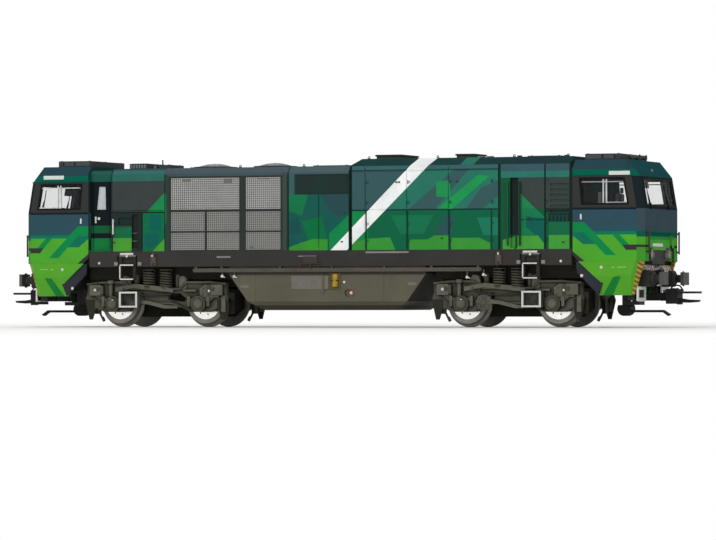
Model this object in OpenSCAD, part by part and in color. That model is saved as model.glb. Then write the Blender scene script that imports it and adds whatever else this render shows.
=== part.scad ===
// Scale model of a four-axle diesel locomotive with a cab at each end.
// +X is the end of cab 1, -Y the near side, Z up; heights are measured from
// the rail top and lifted by the wheel flange, so the flanges touch z = 0.

/* [Body] */
// Length between the buffer faces
length = 198; // [180:1:260]
// Width over the body sides
body_w = 35.4; // [30:0.2:44]
// Underside of the side sills
sill_z = 16.5; // [14:0.1:18]
// Top of the sills, where the hoods and cabs stand
deck_z = 21; // [19:0.1:24]
// Roof height of the low hoods
low_roof_z = 45.1; // [40:0.1:50]
// Roof height of the tall hoods
tall_roof_z = 47; // [42:0.1:52]
// Roof height of the cabs
cab_roof_z = 45.9; // [41:0.1:50]
// Wall of the hoods and cabs
wall = 1.1; // [0.8:0.1:1.6]

/* [Cab and hoods] */
// Buffer face to the front of the cab
nose_gap = 4.2; // [3:0.1:8]
// Length of each cab
cab_l = 20.8; // [18:0.1:26]
// Length of the entry beside cab 2
entry_l = 7; // [5:0.1:10]
// Length of the equipment hood beside the entry
equip_l = 16.9; // [14:0.1:24]
// Length of the cooling hood
cooling_l = 38.6; // [34:0.1:50]
// Length of the middle hood
middle_l = 19.2; // [14:0.1:26]
// Length of the auxiliary hood beside cab 1
aux_l = 21.2; // [19:0.1:30]
// How far the entry stands back from the body side
entry_in = 1.2; // [0.6:0.1:2]
// Lower edge of the window band
band_z0 = 32.4; // [30:0.1:34]
// Upper edge of the window band
band_z1 = 41.4; // [39:0.1:43]
// Slope of the windscreen
screen_a = 9.5; // [0:0.5:20]
// Width cut from each front corner
corner_w = 2.4; // [1:0.1:4]
// Depth cut from each front corner
corner_d = 1.8; // [1:0.1:4]

/* [Running gear] */
// Bogie pivot to buffer face
pivot_in = 45; // [44:0.1:52]
// Half the axle spacing in a bogie
half_base = 13.6; // [12.5:0.1:14.4]
// Wheel diameter on the tread
wheel_d = 11.5; // [10:0.1:11.8]
// Flange height below the rail top
flange_h = 1; // [0.6:0.1:1.2]
// Inner face of a wheel from the middle
wheel_in = 7.1; // [6.8:0.05:7.3]
// Width of a wheel with its flange
wheel_w = 2.9; // [2.4:0.1:3.2]
// Axle diameter
axle_d = 2; // [1.5:0.1:2.6]
// Pivot pin diameter
pin_d = 5; // [3:0.1:7]
// Inner face of a bogie side frame from the middle
side_in = 12.6; // [11.6:0.1:13]
// Thickness of a bogie side frame
side_t = 2; // [1.4:0.1:2.2]
// Clearance of a turning shaft in its bore, at the radius
run_gap = 0.05; // [0.02:0.01:0.09]
// Bogie end to fuel tank top edge
tank_gap = 2; // [1.2:0.1:6]

/* [Couplers and buffers] */
// Buffer spacing from the middle
buffer_y = 10.05; // [8:0.05:12]
// Buffer height above the rail
buffer_z = 12.7; // [11:0.1:14]
// Coupler swing pin to buffer face
coupler_in = 12; // [10:0.1:16]
// Coupler height above the rail
coupler_z = 7.6; // [6:0.1:9]
// Coupler reach beyond the buffer face
coupler_out = 7; // [3:0.1:8]
// Swing pin diameter
coupler_pin_d = 1.6; // [1.2:0.1:2.4]

/* [Hidden] */

hw = body_w / 2;
front_x = length / 2 - nose_gap;
cab_x0 = front_x - cab_l;
entry_x0 = -cab_x0;
equip_x0 = entry_x0 + entry_l;
cool_x0 = equip_x0 + equip_l;
mid_x0 = cool_x0 + cooling_l;
eng_x0 = mid_x0 + middle_l;
aux_x0 = cab_x0 - aux_l;
side_front = front_x - corner_d;
pivot_x = length / 2 - pivot_in;
axle_z = wheel_d / 2;
wheel_out = wheel_in + wheel_w;
seam_z = 17.5;                 // cab body to apron
apron_z = 8;                   // lower edge of the aprons
side_out = side_in + side_t;
bogie_h = 22;                  // half length of a bogie side frame
bogie_top = 10.4;              // top of the side frames
bolster_t = 2.4;
bolster_h = 5;                 // half width of the bolster along X
frame_gap = 0.2;               // turning face above the bolster
gear_y = 6.3;
block_y = 13.2;                // half width of the inner frame
beam_x = front_x - 4.2;        // front of the buffer beam
step_y = hw - corner_w - wall - 0.1;   // outer edge of the front steps
ladder_x = pivot_x + 7.9;
tank_h = pivot_x - bogie_h - tank_gap + 0.2;
pane = 0.5;
pane_gap = 0.03;
coupler_x = length / 2 - coupler_in;
coupler_half = 1.1;            // half height of the coupler shank
beam_low = coupler_z + coupler_half + 2.4;   // underside of the buffer beam
grille_t = 0.5;
grille_set = 0.25;             // grille face behind the body side
seam_w = 0.3;
seam_d = 0.25;

module on_rail() translate([0, 0, flange_h]) children();
module both_sides() { children(); mirror([0, 1, 0]) children(); }
module box(x0, x1, y0, y1, z0, z1) translate([x0, y0, z0]) cube([x1 - x0, y1 - y0, z1 - z0]);
// A side view outline, extruded across the model
module xz(y0, y1) translate([0, y1, 0]) rotate([90, 0, 0]) linear_extrude(y1 - y0) children();
// An end view outline, extruded along the model
module yz(x0, x1) translate([x0, 0, 0]) rotate([90, 0, 90]) linear_extrude(x1 - x0) children();
module rod_y(x, z, r, y0, y1) translate([x, y1, z]) rotate([90, 0, 0]) cylinder(r = r, h = y1 - y0, $fn = 40);
module rod_x(y, z, r, x0, x1) translate([x0, y, z]) rotate([0, 90, 0]) cylinder(r = r, h = x1 - x0, $fn = 40);
module rod_z(x, y, r, z0, z1) translate([x, y, z0]) cylinder(r = r, h = z1 - z0, $fn = 40);

// ---- hoods: roof_z, edge = height where the side turns in, in_y = how far
module hood_section(h, roof_z, edge, in_y)
  polygon([[-h, deck_z], [h, deck_z], [h, roof_z - edge], [h - in_y, roof_z],
           [-h + in_y, roof_z], [-h, roof_z - edge]]);
module hood_shell(x0, x1, h, roof_z, edge, in_y) difference() {
  yz(x0, x1) hood_section(h, roof_z, edge, in_y);
  yz(x0 - 1, x1 + 1) polygon([[-h + wall, deck_z - 1], [h - wall, deck_z - 1],
    [h - wall, roof_z - edge - wall * 0.3], [h - in_y - wall * 0.6, roof_z - wall],
    [-h + in_y + wall * 0.6, roof_z - wall], [-h + wall, roof_z - edge - wall * 0.3]]);
}
module low_hood(x0, x1) hood_shell(x0, x1, hw, low_roof_z, 1.7, 1.9);
module tall_hood(x0, x1) hood_shell(x0, x1, hw, tall_roof_z, 2, 1.7);
module v_seam(x, z0, z1) both_sides() box(x - seam_w / 2, x + seam_w / 2, -hw - 1, -hw + seam_d, z0, z1);
module h_seam(x0, x1, z) both_sides() box(x0, x1, -hw - 1, -hw + seam_d, z - seam_w / 2, z + seam_w / 2);

module entry() color("#2f4350") on_rail() difference() {
  hood_shell(entry_x0, equip_x0, hw - entry_in, low_roof_z, 1.7, 0.7);
  entry_window(0);
  for (s = [-1, 1]) both_sides()
    box(entry_x0 + 0.7 + (s > 0 ? entry_l - 1.7 : 0), entry_x0 + 0.95 + (s > 0 ? entry_l - 1.7 : 0),
        -hw - 1, -hw + entry_in + seam_d, deck_z + 0.8, band_z1);
}
module entry_window(gap) both_sides() xz(-hw + entry_in - (gap > 0 ? 0 : 1), -hw + entry_in + (gap > 0 ? pane : wall + 1))
  polygon([[entry_x0 + 1.9 + gap, band_z0 + 0.8 + gap], [entry_x0 + 4.9 - gap, band_z0 + 0.8 + gap],
           [entry_x0 + 4.7 - gap, band_z1 - 1.4 - gap], [entry_x0 + 2.6 + gap, band_z1 - 1.4 - gap]]);
module entry_glazing() color("#8a9aa0") on_rail() entry_window(pane_gap);

niche_x = equip_x0 + 6.6;
module equipment_hood() color("#1f6b5c") on_rail() difference() {
  low_hood(equip_x0, cool_x0);
  both_sides() box(niche_x, niche_x + 1.9, -hw - 1, -hw + 0.7, deck_z + 0.6, band_z0 - 0.8);
  both_sides() box(equip_x0 + 2.3, niche_x - 0.3, -hw - 1, -hw + 0.5, deck_z + 7.6, deck_z + 9.8);
  v_seam(niche_x + 3.2, deck_z + 0.6, band_z0);
  h_seam(equip_x0 + 0.4, cool_x0 - 0.4, band_z0 + 0.4);
}

// Grille fields as [x0, x1, z0, z1] from the start of the cooling hood
grille_a = 2.1;
grille_b = 23.5;
grille_c = 25.6;
grille_d = 36.3;
grille_m = 12.7;
grille_rows = [deck_z + 0.3, deck_z + 5.3, deck_z + 5.8, deck_z + 11.3, deck_z + 12, deck_z + 21.1];
function grille_fields() = [
  [grille_a, grille_m, 0], [grille_m + 0.7, grille_b, 0], [grille_c, grille_d, 0],
  [grille_a, grille_m, 1], [grille_m + 0.7, grille_b, 1], [grille_c, grille_d, 1],
  [grille_a, grille_b, 2], [grille_c, grille_d, 2]];
module cooling_hood() color("#2b3a40") on_rail() difference() {
  low_hood(cool_x0, mid_x0);
  for (g = grille_fields()) both_sides() {
    box(cool_x0 + g[0], cool_x0 + g[1], -hw - 1, -hw + grille_set + grille_t, grille_rows[2 * g[2]], grille_rows[2 * g[2] + 1]);
    box(cool_x0 + g[0] + 0.5, cool_x0 + g[1] - 0.5, -hw - 1, -hw + wall + 1, grille_rows[2 * g[2]] + 0.5, grille_rows[2 * g[2] + 1] - 0.5);
  }
  v_seam(cool_x0 + 0.15, deck_z, low_roof_z - 1.8);
  for (x = fan_xs) rod_z(x, 0, fan_r - 0.6, low_roof_z - wall - 1, low_roof_z + 1);
}
module cooling_grilles() color("#a5a19b") on_rail() for (g = grille_fields()) both_sides()
  box(cool_x0 + g[0] + pane_gap, cool_x0 + g[1] - pane_gap, -hw + grille_set, -hw + grille_set + grille_t,
      grille_rows[2 * g[2]] + pane_gap, grille_rows[2 * g[2] + 1] - pane_gap);

fan_r = 6.4;
fan_xs = [cool_x0 + 8.6, cool_x0 + 27.6];
module cooling_fans() color("#2a2c2c") on_rail() for (x = fan_xs) translate([x, 0, low_roof_z]) {
  difference() {
    cylinder(r = fan_r, h = 0.7, $fn = 64);
    translate([0, 0, -1]) cylinder(r = fan_r - 0.6, h = 3, $fn = 64);
  }
  cylinder(r = 1.6, h = 1.1, $fn = 40);
  for (a = [0, 60, 120]) rotate([0, 0, a]) translate([-fan_r + 0.3, -0.25, 0.1]) cube([2 * fan_r - 0.6, 0.5, 0.6]);
}

module middle_hood() color("#0f6f4f") on_rail() difference() {
  low_hood(mid_x0, eng_x0);
  both_sides() box(mid_x0 + 2, eng_x0 - 0.9, -hw - 1, -hw + 0.4, deck_z + 16, deck_z + 21.8);
  v_seam(mid_x0 + 9.6, deck_z + 0.6, deck_z + 16);
  v_seam(mid_x0 + 0.15, deck_z, low_roof_z - 1.8);
}

door_pitch = 12.6;
module engine_hood() color("#23505a") on_rail() difference() {
  union() {
    difference() {
      tall_hood(eng_x0, aux_x0);
      xz(-hw - 1, hw + 1) polygon([[eng_x0 - 1, low_roof_z - 0.1], [eng_x0 - 1, tall_roof_z + 1],
        [eng_x0 + 3.4, tall_roof_z + 1], [eng_x0 + 3.1, tall_roof_z], [eng_x0, low_roof_z - 0.1]]);
    }
    intersection() {
      yz(eng_x0, eng_x0 + 5) hood_section(hw, tall_roof_z, 2, 1.7);
      xz(-hw, hw) polygon([[eng_x0, low_roof_z - wall], [eng_x0 + 0.01, low_roof_z - 0.1],
        [eng_x0 + 3.1, tall_roof_z], [eng_x0 + 4.8, tall_roof_z], [eng_x0 + 1.9, low_roof_z - wall]]);
    }
  }
  for (x = [eng_x0 + 4.6 : door_pitch : aux_x0 - 4]) v_seam(x, deck_z + 0.6, tall_roof_z - 2.6);
  h_seam(eng_x0 + 0.6, aux_x0 - 0.4, band_z0);
  h_seam(eng_x0 + 0.6, aux_x0 - 0.4, tall_roof_z - 3.6);
  v_seam(eng_x0 + 0.2, deck_z, low_roof_z - 0.6);
}

rail_niche = 3.2;
module auxiliary_hood() color("#2b3a40") on_rail() difference() {
  tall_hood(aux_x0, cab_x0);
  both_sides() box(aux_x0 + rail_niche, aux_x0 + rail_niche + 2.2, -hw - 1, -hw + 0.8, deck_z + 0.4, deck_z + 20);
  v_seam(aux_x0 + 13.4, deck_z + 0.4, tall_roof_z - 2.6);
  v_seam(aux_x0 + 0.2, deck_z, tall_roof_z - 2);
  h_seam(aux_x0 + rail_niche + 2.6, cab_x0 - 0.4, deck_z + 8.2);
  both_sides() for (i = [0 : 5]) box(aux_x0 + 15, cab_x0 - 0.8, -hw - 1, -hw + 0.3, deck_z + 10.2 + i * 1.5, deck_z + 10.9 + i * 1.5);
}

// ---- cab: one end drawn towards +X, mirrored for the other
module at_end(e) mirror([e == 2 ? 1 : 0, 0, 0]) children();
// Plan of the cab; the corner cuts run past the sides, which cab_form trims
module plan(s, c) polygon([[cab_x0 - 40, -hw - corner_w + s], [front_x - (2 * corner_d + s * 0.4) * c, -hw - corner_w + s],
  [front_x - s * c, -hw + corner_w + s * 0.4], [front_x - s * c, hw - corner_w - s * 0.4],
  [front_x - (2 * corner_d + s * 0.4) * c, hw + corner_w - s], [cab_x0 - 40, hw + corner_w - s]]);
top_x = front_x - (band_z1 - band_z0) * tan(screen_a);
module lean(z, a, dx) translate([front_x - dx, 0, z]) rotate([0, -a, 0]) translate([-front_x, 0, 0]) children();
// Upright lower front, leaning windscreen and roof cap, each set in by s
module cab_form(s, z0, x0) {
  roof = cab_roof_z - s;
  intersection() {
    translate([0, 0, z0]) linear_extrude(roof - z0) plan(s, 1);
    lean(band_z0, screen_a, 0) translate([0, 0, -60]) linear_extrude(120) plan(s, cos(screen_a));
    lean(band_z1, cap_a, front_x - top_x) translate([0, 0, -80]) linear_extrude(160) plan(s, cos(cap_a));
    yz(x0, front_x + 5) polygon([[-hw + s, z0], [hw - s, z0], [hw - s, cab_roof_z - 2.4], [hw - 2.2 - s * 0.4, roof],
      [-hw + 2.2 + s * 0.4, roof], [-hw + s, cab_roof_z - 2.4]]);
  }
}
cap_a = 39;
side_win_x0 = cab_x0 + 3.2;
side_win_x1 = front_x - 4.4;
module side_window(gap, y0, y1) both_sides() xz(y0, y1) polygon([
  [side_win_x0 + gap, band_z0 + 1.2 + gap], [side_win_x1 - gap, band_z0 + 1.2 + gap],
  [side_win_x1 - 1.2 - gap, band_z1 - 0.9 - gap], [side_win_x0 - 0.6 + gap, band_z1 - 0.9 - gap]]);
screen_w = 12.9;
module windscreen(gap, t0, t1) lean(band_z0, screen_a, 0) translate([front_x - t1, -screen_w + gap, 0.9 + gap])
  cube([t1 - t0, 2 * (screen_w - gap), (band_z1 - band_z0) / cos(screen_a) - 1.9 - 2 * gap]);
recess_y = 10.2;
recess_d = 0.7;
module cab_body(e) color("#2f4350") on_rail() at_end(e) difference() {
  cab_form(0, seam_z, cab_x0);
  cab_form(wall, seam_z - 1, cab_x0 + wall);
  side_window(0, -hw - 1, -hw + wall + 1);
  windscreen(0, -1, wall + 1.6);
  // lower rear corner over the sill
  both_sides() xz(-hw - 1, hw) polygon([[cab_x0 - 1, seam_z - 1], [cab_x0 + 2.2, seam_z - 1], [cab_x0 + 2.2, seam_z], [cab_x0, deck_z - 1.6], [cab_x0, deck_z], [cab_x0 - 1, deck_z]]);
  // recessed front panel and the opening above the coupler
  box(front_x - recess_d, front_x + 1, -recess_y, recess_y, seam_z - 1, seam_z + 8);
  yz(front_x - wall - 2, front_x + 1) polygon([[-recess_y + 4.4, seam_z - 1], [recess_y - 4.4, seam_z - 1], [recess_y - 3.2, seam_z + 3.2], [-recess_y + 3.2, seam_z + 3.2]]);
  both_sides() rod_x(-lamp_y, lamp_z, lamp_r, front_x - wall - 1, front_x + 1);
  // rear wall opening to the hood and seams
  box(cab_x0 - 1, cab_x0 + wall + 1, -hw + 5, hw - 5, deck_z, band_z1 - 1);
  box(cab_x0 - 1, cab_x0 + wall + 1, -hw + wall + 1.5, hw - wall - 1.5, seam_z - 1, deck_z);
  both_sides() box(cab_x0 + 0.5, side_front, -hw - 1, -hw + 0.2, band_z0 - 0.15, band_z0 + 0.15);
}
lamp_y = 8.4;
lamp_z = 19.6;
lamp_r = 1.2;
module cab_1() cab_body(1);
module cab_2() cab_body(2);
module glazing(e) color("#7c8a90") on_rail() at_end(e) {
  side_window(pane_gap, -hw + 0.2, -hw + 0.2 + pane);
  windscreen(pane_gap, 0.15, 0.15 + pane);
}
module cab_1_glazing() glazing(1);
module cab_2_glazing() glazing(2);
module headlights(e) color("#e8e6da") on_rail() at_end(e) both_sides()
  rod_x(-lamp_y, lamp_z, lamp_r - pane_gap, front_x - wall, front_x - recess_d + 0.5);
module headlights_1() headlights(1);
module headlights_2() headlights(2);

module interior(e) color("#b9b6ad") on_rail() at_end(e) {
  // floor on the frame, desk along the front and two seats
  box(cab_x0 + wall, front_x - 4.4, -hw + wall + 1.5, hw - wall - 1.5, deck_z, deck_z + 1);
  box(front_x - 7.2, front_x - 4.6, -hw + wall + 1.5, hw - wall - 1.5, deck_z + 1, band_z0 + 0.2);
  for (y = [-8, 8]) {
    box(cab_x0 + 5.2, cab_x0 + 8.6, y - 1.9, y + 1.9, deck_z + 1, deck_z + 8.4);
    box(cab_x0 + 5.2, cab_x0 + 6.2, y - 1.7, y + 1.7, deck_z + 8.4, band_z0 + 4.6);
  }
}
module cab_1_interior() interior(1);
module cab_2_interior() interior(2);

ac_x0 = cab_x0 + 2.2;
ac_l = 10.3;
ac_h = 1.8;
module air_conditioner(e) color("#39423f") on_rail() at_end(e) {
  difference() {
    box(ac_x0, ac_x0 + ac_l, -12, 12, cab_roof_z, cab_roof_z + ac_h);
    for (y = [-6, 6]) rod_z(ac_x0 + ac_l / 2, y, 3.4, cab_roof_z + ac_h - 0.5, cab_roof_z + 3);
    both_sides() for (i = [0 : 6]) box(ac_x0 + 1.1 + i * 1.2, ac_x0 + 1.7 + i * 1.2, -13, -11.7, cab_roof_z + 0.4, cab_roof_z + ac_h - 0.4);
  }
}
module cab_1_air_conditioner() air_conditioner(1);
module cab_2_air_conditioner() air_conditioner(2);

apron_a = 17;
module apron_form(s, cut) intersection() {
  translate([0, 0, apron_z - cut]) linear_extrude(seam_z - apron_z + 2 * cut) plan(s, 1);
  lean(seam_z, -apron_a, 0.4) translate([0, 0, -60]) linear_extrude(120) plan(s, cos(apron_a));
  yz(cab_x0 - 1, front_x + 5) polygon([[-hw + s, seam_z + cut], [-hw + s, 13.5], [-hw + 1.6 + s, apron_z], [-hw + 1.6 + s, apron_z - cut],
    [hw - 1.6 - s, apron_z - cut], [hw - 1.6 - s, apron_z], [hw - s, 13.5], [hw - s, seam_z + cut]]);
}
module apron(e) color("#52b02c") on_rail() at_end(e) difference() {
  apron_form(0, 0);
  apron_form(wall, 1);
  box(cab_x0 - 2, front_x + 1, -hw + corner_w + wall, hw - corner_w - wall, apron_z - 1, seam_z + 1);
  both_sides() xz(-hw - 1, -hw + 5) polygon([[cab_x0 - 2, seam_z + 1], [cab_x0 + 1.9 - 1.1, seam_z + 1], [cab_x0 + 1.9, seam_z], [cab_x0 + 8.9, 11.2],
    [cab_x0 + 7.4, apron_z], [cab_x0 + 7.1, apron_z - 1], [cab_x0 - 2, apron_z - 1]]);
  both_sides() rod_y(cab_x0 + 13.5, 13, 0.5, -hw - 1, -hw + 0.3);
}
module apron_1() apron(1);
module apron_2() apron(2);

// ---- chassis
module main_frame() color("#3a383a") on_rail() {
  difference() {
    union() {
      // side sills and deck between the cabs
      box(-cab_x0, cab_x0, -hw, hw, sill_z, deck_z);
      // inner frame that carries the cabs
      for (e = [1, 2]) at_end(e) {
        box(cab_x0 - 1, front_x - 4.4, -hw + wall + 1.5, hw - wall - 1.5, seam_z, deck_z);
        box(beam_x - 2.4, beam_x - 0.1, -hw + wall + 2, hw - wall - 2, beam_low, seam_z);
        both_sides() box(beam_x - 1.4, beam_x - 0.1, -step_y, -8.2, 6.6, beam_low);
        both_sides() box(cab_x0 + 6, beam_x - 1, -hw + wall, -hw + wall + 1.5, seam_z - 2.6, seam_z + 2);
      }
    }
    box(-cab_x0 + 12, cab_x0 - 12, -hw + 2.4, hw - 2.4, sill_z - 1, deck_z - 2.2);
    for (s = [-1, 1]) both_sides() box(s * ladder_x - 3.2, s * ladder_x + 3.2, -hw - 1, -hw + 0.8, sill_z - 1, deck_z - 1.2);
    for (s = [-1, 1]) box(s * pivot_x - 8, s * pivot_x + 8, -block_y, block_y, sill_z - 1, sill_z - 0.5);
  }
  // pivot shoulders and pins
  for (s = [-1, 1]) {
    box(s * pivot_x - 7, s * pivot_x + 7, -hw + 2.4, hw - 2.4, sill_z, deck_z - 2.2);
    rod_z(s * pivot_x, 0, 4, bogie_top + frame_gap, sill_z);
    rod_z(s * pivot_x, 0, pin_d / 2, bogie_top - bolster_t + 0.3, bogie_top + frame_gap);
  }
  // coupler pockets with the swing pin
  for (e = [1, 2]) at_end(e) {
    box(coupler_x - 3, coupler_x + 2, -2.6, 2.6, coupler_z + coupler_half + 0.15, coupler_z + coupler_half + 1.2);
    box(coupler_x - 3, coupler_x - 2, -2.6, 2.6, coupler_z - coupler_half - 1, coupler_z + coupler_half + 0.15);
    box(coupler_x - 3, coupler_x + 2, -2.6, 2.6, coupler_z - coupler_half - 1.2, coupler_z - coupler_half - 0.15);
    rod_z(coupler_x, 0, coupler_pin_d / 2, coupler_z - coupler_half - 0.15, coupler_z + coupler_half + 0.15);
    box(coupler_x - 1.4, coupler_x + 2, -2, 2, coupler_z + coupler_half + 1.2, seam_z);
  }
}

module fuel_tank() color("#5c584e") on_rail() {
  difference() {
    xz(-hw + 1.2, hw - 1.2) polygon([[-tank_h, sill_z], [tank_h, sill_z], [tank_h, 14.2], [tank_h - 5.7, 6.4], [tank_h - 9.7, 3.9],
      [-tank_h + 9.7, 3.9], [-tank_h + 5.7, 6.4], [-tank_h, 14.2]]);
    // lower edges turn in
    both_sides() yz(-tank_h - 1, tank_h + 1) polygon([[-hw - 1, 3], [-hw + 4.4, 3], [-hw + 4.4, 3.6], [-hw + 1.2, 6.4], [-hw - 1, 6.4]]);
    both_sides() rod_y(6.6, 8.8, 1.1, -hw, -hw + 1.6);
    both_sides() box(-0.6, 2.4, -hw, -hw + 1.4, 9.6, 14);
  }
}

module drive_motor() color("#55504a") on_rail() box(eng_x0 + 6, aux_x0 - 4, -8, 8, deck_z, deck_z + 17);

pipe_in = 0.62;
module pipework() color("#6b625c") on_rail() {
  both_sides() {
    // long pipe ledge below the sill and its hangers
    rod_x(-hw + pipe_in, sill_z - 1.1, 0.5, -tank_h - 11, tank_h + 17);
    for (x = [-tank_h - 10, -tank_h - 2, -14, 2, 18, tank_h + 2, tank_h + 16]) box(x - 0.3, x + 0.3, -hw + pipe_in - 0.5, -hw + pipe_in + 0.4, sill_z - 1.1, sill_z);
    // valve and filler caps on the sill
    for (x = [-ladder_x + 8.4, ladder_x - 9.4]) {
      box(x - 0.8, x + 0.8, -hw - 0.5, -hw, sill_z + 0.2, sill_z + 3);
      rod_y(x, sill_z + 3.5, 0.5, -hw - 0.6, -hw);
    }
    box(-6.6, -2.2, -hw - 0.4, -hw, sill_z + 1, sill_z + 2.8);
  }
}

module ladders() color("#d8dad4") on_rail() for (s = [-1, 1]) both_sides() translate([s * ladder_x, -hw, 0]) {
  box(-2.1, 2.1, -0.4, 0, deck_z - 1.1, deck_z - 0.4);
  difference() {
    box(-2.6, 2.6, 0.1, 0.8, 12.6, deck_z - 1.2);
    box(-1.7, 1.7, -1, 2, 13.4, 16.6);
    box(-1.7, 1.7, -1, 2, 17.5, deck_z - 2);
  }
  for (z = [12.9, 17]) box(-2.2, 2.2, -0.5, 0.1, z - 0.25, z + 0.25);
}

rail_r = 0.25;
module handrail_z(x, y, z0, z1, back) {
  rod_z(x, y, rail_r, z0, z1);
  for (z = [z0 + 0.6, z1 - 0.6]) if (back > 0) rod_y(x, z, rail_r, y, y + back); else rod_y(x, z, rail_r, y + back, y);
}
module handrails() color("#c9ccc8") on_rail() {
  both_sides() {
    handrail_z(equip_x0 + 0.8, -hw - 0.5, deck_z + 5, deck_z + 9.4, 0.5);
    handrail_z(aux_x0 + rail_niche - 0.7, -hw - 0.5, deck_z + 1, deck_z + 19, 0.5);
    handrail_z(aux_x0 + rail_niche + 2.9, -hw - 0.5, deck_z + 1, deck_z + 19, 0.5);
  }
  // grab rails beside the front
  for (e = [1, 2]) at_end(e) both_sides() {
    rod_z(front_x + 0.8, -hw + corner_w + 1, rail_r, deck_z - 1.4, deck_z + 5);
    for (z = [deck_z - 0.8, deck_z + 4.4]) rod_x(-hw + corner_w + 1, z, rail_r, front_x, front_x + 0.8);
  }
}

// Frames below the buffers, facing forward
module front_steps() color("#d8dad4") on_rail() for (e = [1, 2]) at_end(e) both_sides() difference() {
  box(beam_x - 0.1, beam_x + 0.7, -step_y, -8.2, 6.6, buffer_z - 2.3);
  box(beam_x + 0.2, beam_x + 1, -step_y + 0.9, -9.1, 7.4, buffer_z - 3.1);
}
// Bar and stop under each coupler
module coupler_brackets() color("#2c2c29") on_rail() for (e = [1, 2]) at_end(e) {
  difference() {
    rod_y(coupler_x - 2.6, coupler_z - 3.4, 2, -2.2, 2.2);
    box(coupler_x - 6, coupler_x + 2, -3, 3, coupler_z - coupler_half - 1.2, 20);
  }
  box(coupler_x - 2.6, coupler_x + 8.4, -0.9, 0.9, coupler_z - 4.4, coupler_z - 3.7);
  xz(-0.9, 0.9) polygon([[coupler_x + 8.4, coupler_z - 3.7], [coupler_x + 8.4, coupler_z - 4.4], [coupler_x + 9.8, coupler_z - 5.4], [coupler_x + 10.4, coupler_z - 5]]);
}
module exhaust_boxes() color("#3c423f") on_rail() {
  difference() {
    box(eng_x0 + 4, eng_x0 + 11.4, -7, 7, tall_roof_z, tall_roof_z + 1);
    box(eng_x0 + 5, eng_x0 + 10.4, -6, 6, tall_roof_z + 0.5, tall_roof_z + 2);
  }
  difference() {
    box(aux_x0 - 17.4, aux_x0 - 12.2, -5, 5, tall_roof_z, tall_roof_z + 1);
    for (y = [-2.4, 2.4]) rod_z(aux_x0 - 14.8, y, 1.6, tall_roof_z + 0.4, tall_roof_z + 2);
  }
}
module roof_hatches() color("#32403f") on_rail() {
  box(equip_x0 + 2, equip_x0 + 7.6, -9, 9, low_roof_z, low_roof_z + 1.7);
  box(equip_x0 + 9.6, equip_x0 + 13.2, -5, 5, low_roof_z, low_roof_z + 1.4);
  box(mid_x0 + 4, mid_x0 + 15, -8, 8, low_roof_z, low_roof_z + 0.5);
  for (x = [aux_x0 + 3, aux_x0 + 17]) rod_z(x, -9, 0.7, tall_roof_z, tall_roof_z + 0.6);
  box(aux_x0 + 5, aux_x0 + 15, -8, 8, tall_roof_z, tall_roof_z + 0.5);
}
module horns() color("#2c2f30") on_rail() {
  rod_z(equip_x0 + 8.6, 0, 0.7, low_roof_z, low_roof_z + 0.6);
  rod_z(equip_x0 + 8.6, 0, 0.2, low_roof_z + 0.6, low_roof_z + 3);
  for (e = [1, 2]) at_end(e) for (y = [-3, 3]) {
    box(ac_x0 + ac_l + 0.4, ac_x0 + ac_l + 1.4, y - 0.6, y + 0.6, cab_roof_z, cab_roof_z + 0.5);
    rod_x(y, cab_roof_z + 0.9, 0.5, ac_x0 + ac_l + 0.2, ac_x0 + ac_l + 2.4);
  }
}

module buffers(e) color("#35342e") on_rail() at_end(e) both_sides() translate([0, -buffer_y, buffer_z]) {
  translate([beam_x - 0.1, -2.3, -2.3]) cube([4.6, 4.6, 4.6]);
  rod_x(0, 0, 1.15, beam_x + 4.5, length / 2 - 0.9);
  translate([length / 2 - 0.9, -2.8, -1.8]) cube([0.9, 5.6, 3.6]);
}
module buffers_1() buffers(1);
module buffers_2() buffers(2);

// ---- bogies, drawn about the pivot
module bogie_at(b) translate([b == 1 ? pivot_x : -pivot_x, 0, 0]) mirror([b == 2 ? 1 : 0, 0, 0]) children();
frame_top = [[-bogie_h, 11.8], [-bogie_h + 5.4, 12.3], [-9.6, 12.3], [-7.6, bogie_top], [7.6, bogie_top], [9.6, 12.3],
  [bogie_h - 5.4, 12.3], [bogie_h, 11.8]];
frame_low = [[bogie_h, 9], [bogie_h - 2.6, 4.6], [half_base + 3, 3.4], [half_base - 3, 3.4],
  [8.2, 4.6], [5, 5.6], [-5, 5.6], [-8.2, 4.6], [-half_base + 3, 3.4], [-half_base - 3, 3.4], [-bogie_h + 2.6, 4.6], [-bogie_h, 9]];
function lowered(pts, d) = [for (i = [len(pts) - 1 : -1 : 0]) [pts[i][0], pts[i][1] + d]];
module side_frame() {
  difference() {
    xz(-side_out, -side_in) polygon(concat(frame_top, frame_low));
    for (s = [-1, 1]) {
      xz(-side_out - 1, -side_in + 1) polygon([[s * 3.8, 7], [s * 8.8, 6.2], [s * 9.6, 7.2], [s * 7.6, 8.8], [s * 3.8, 8.8]]);
      rod_y(s * half_base, axle_z, 1.4, -side_out - 1, -side_in + 1);
    }
  }
  // flanges along the upper and lower edges
  xz(-side_out - flange_t, -side_out) polygon(concat(frame_top, lowered(frame_top, -0.6)));
  xz(-side_out - flange_t, -side_out) polygon([[4.8, 5.6], [-5, 5.6], [-8.2, 4.6], [-8.2, 5.2], [-5, 6.2], [4.8, 6.2]]);
}
flange_t = 0.5;
module bogie_frame(b) color("#35342e") on_rail() bogie_at(b) {
  both_sides() side_frame();
  difference() {
    box(-bolster_h, bolster_h, -side_in, side_in, bogie_top - bolster_t, bogie_top);
    rod_z(0, 0, pin_d / 2 + run_gap, 0, 20);
  }
}
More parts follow.
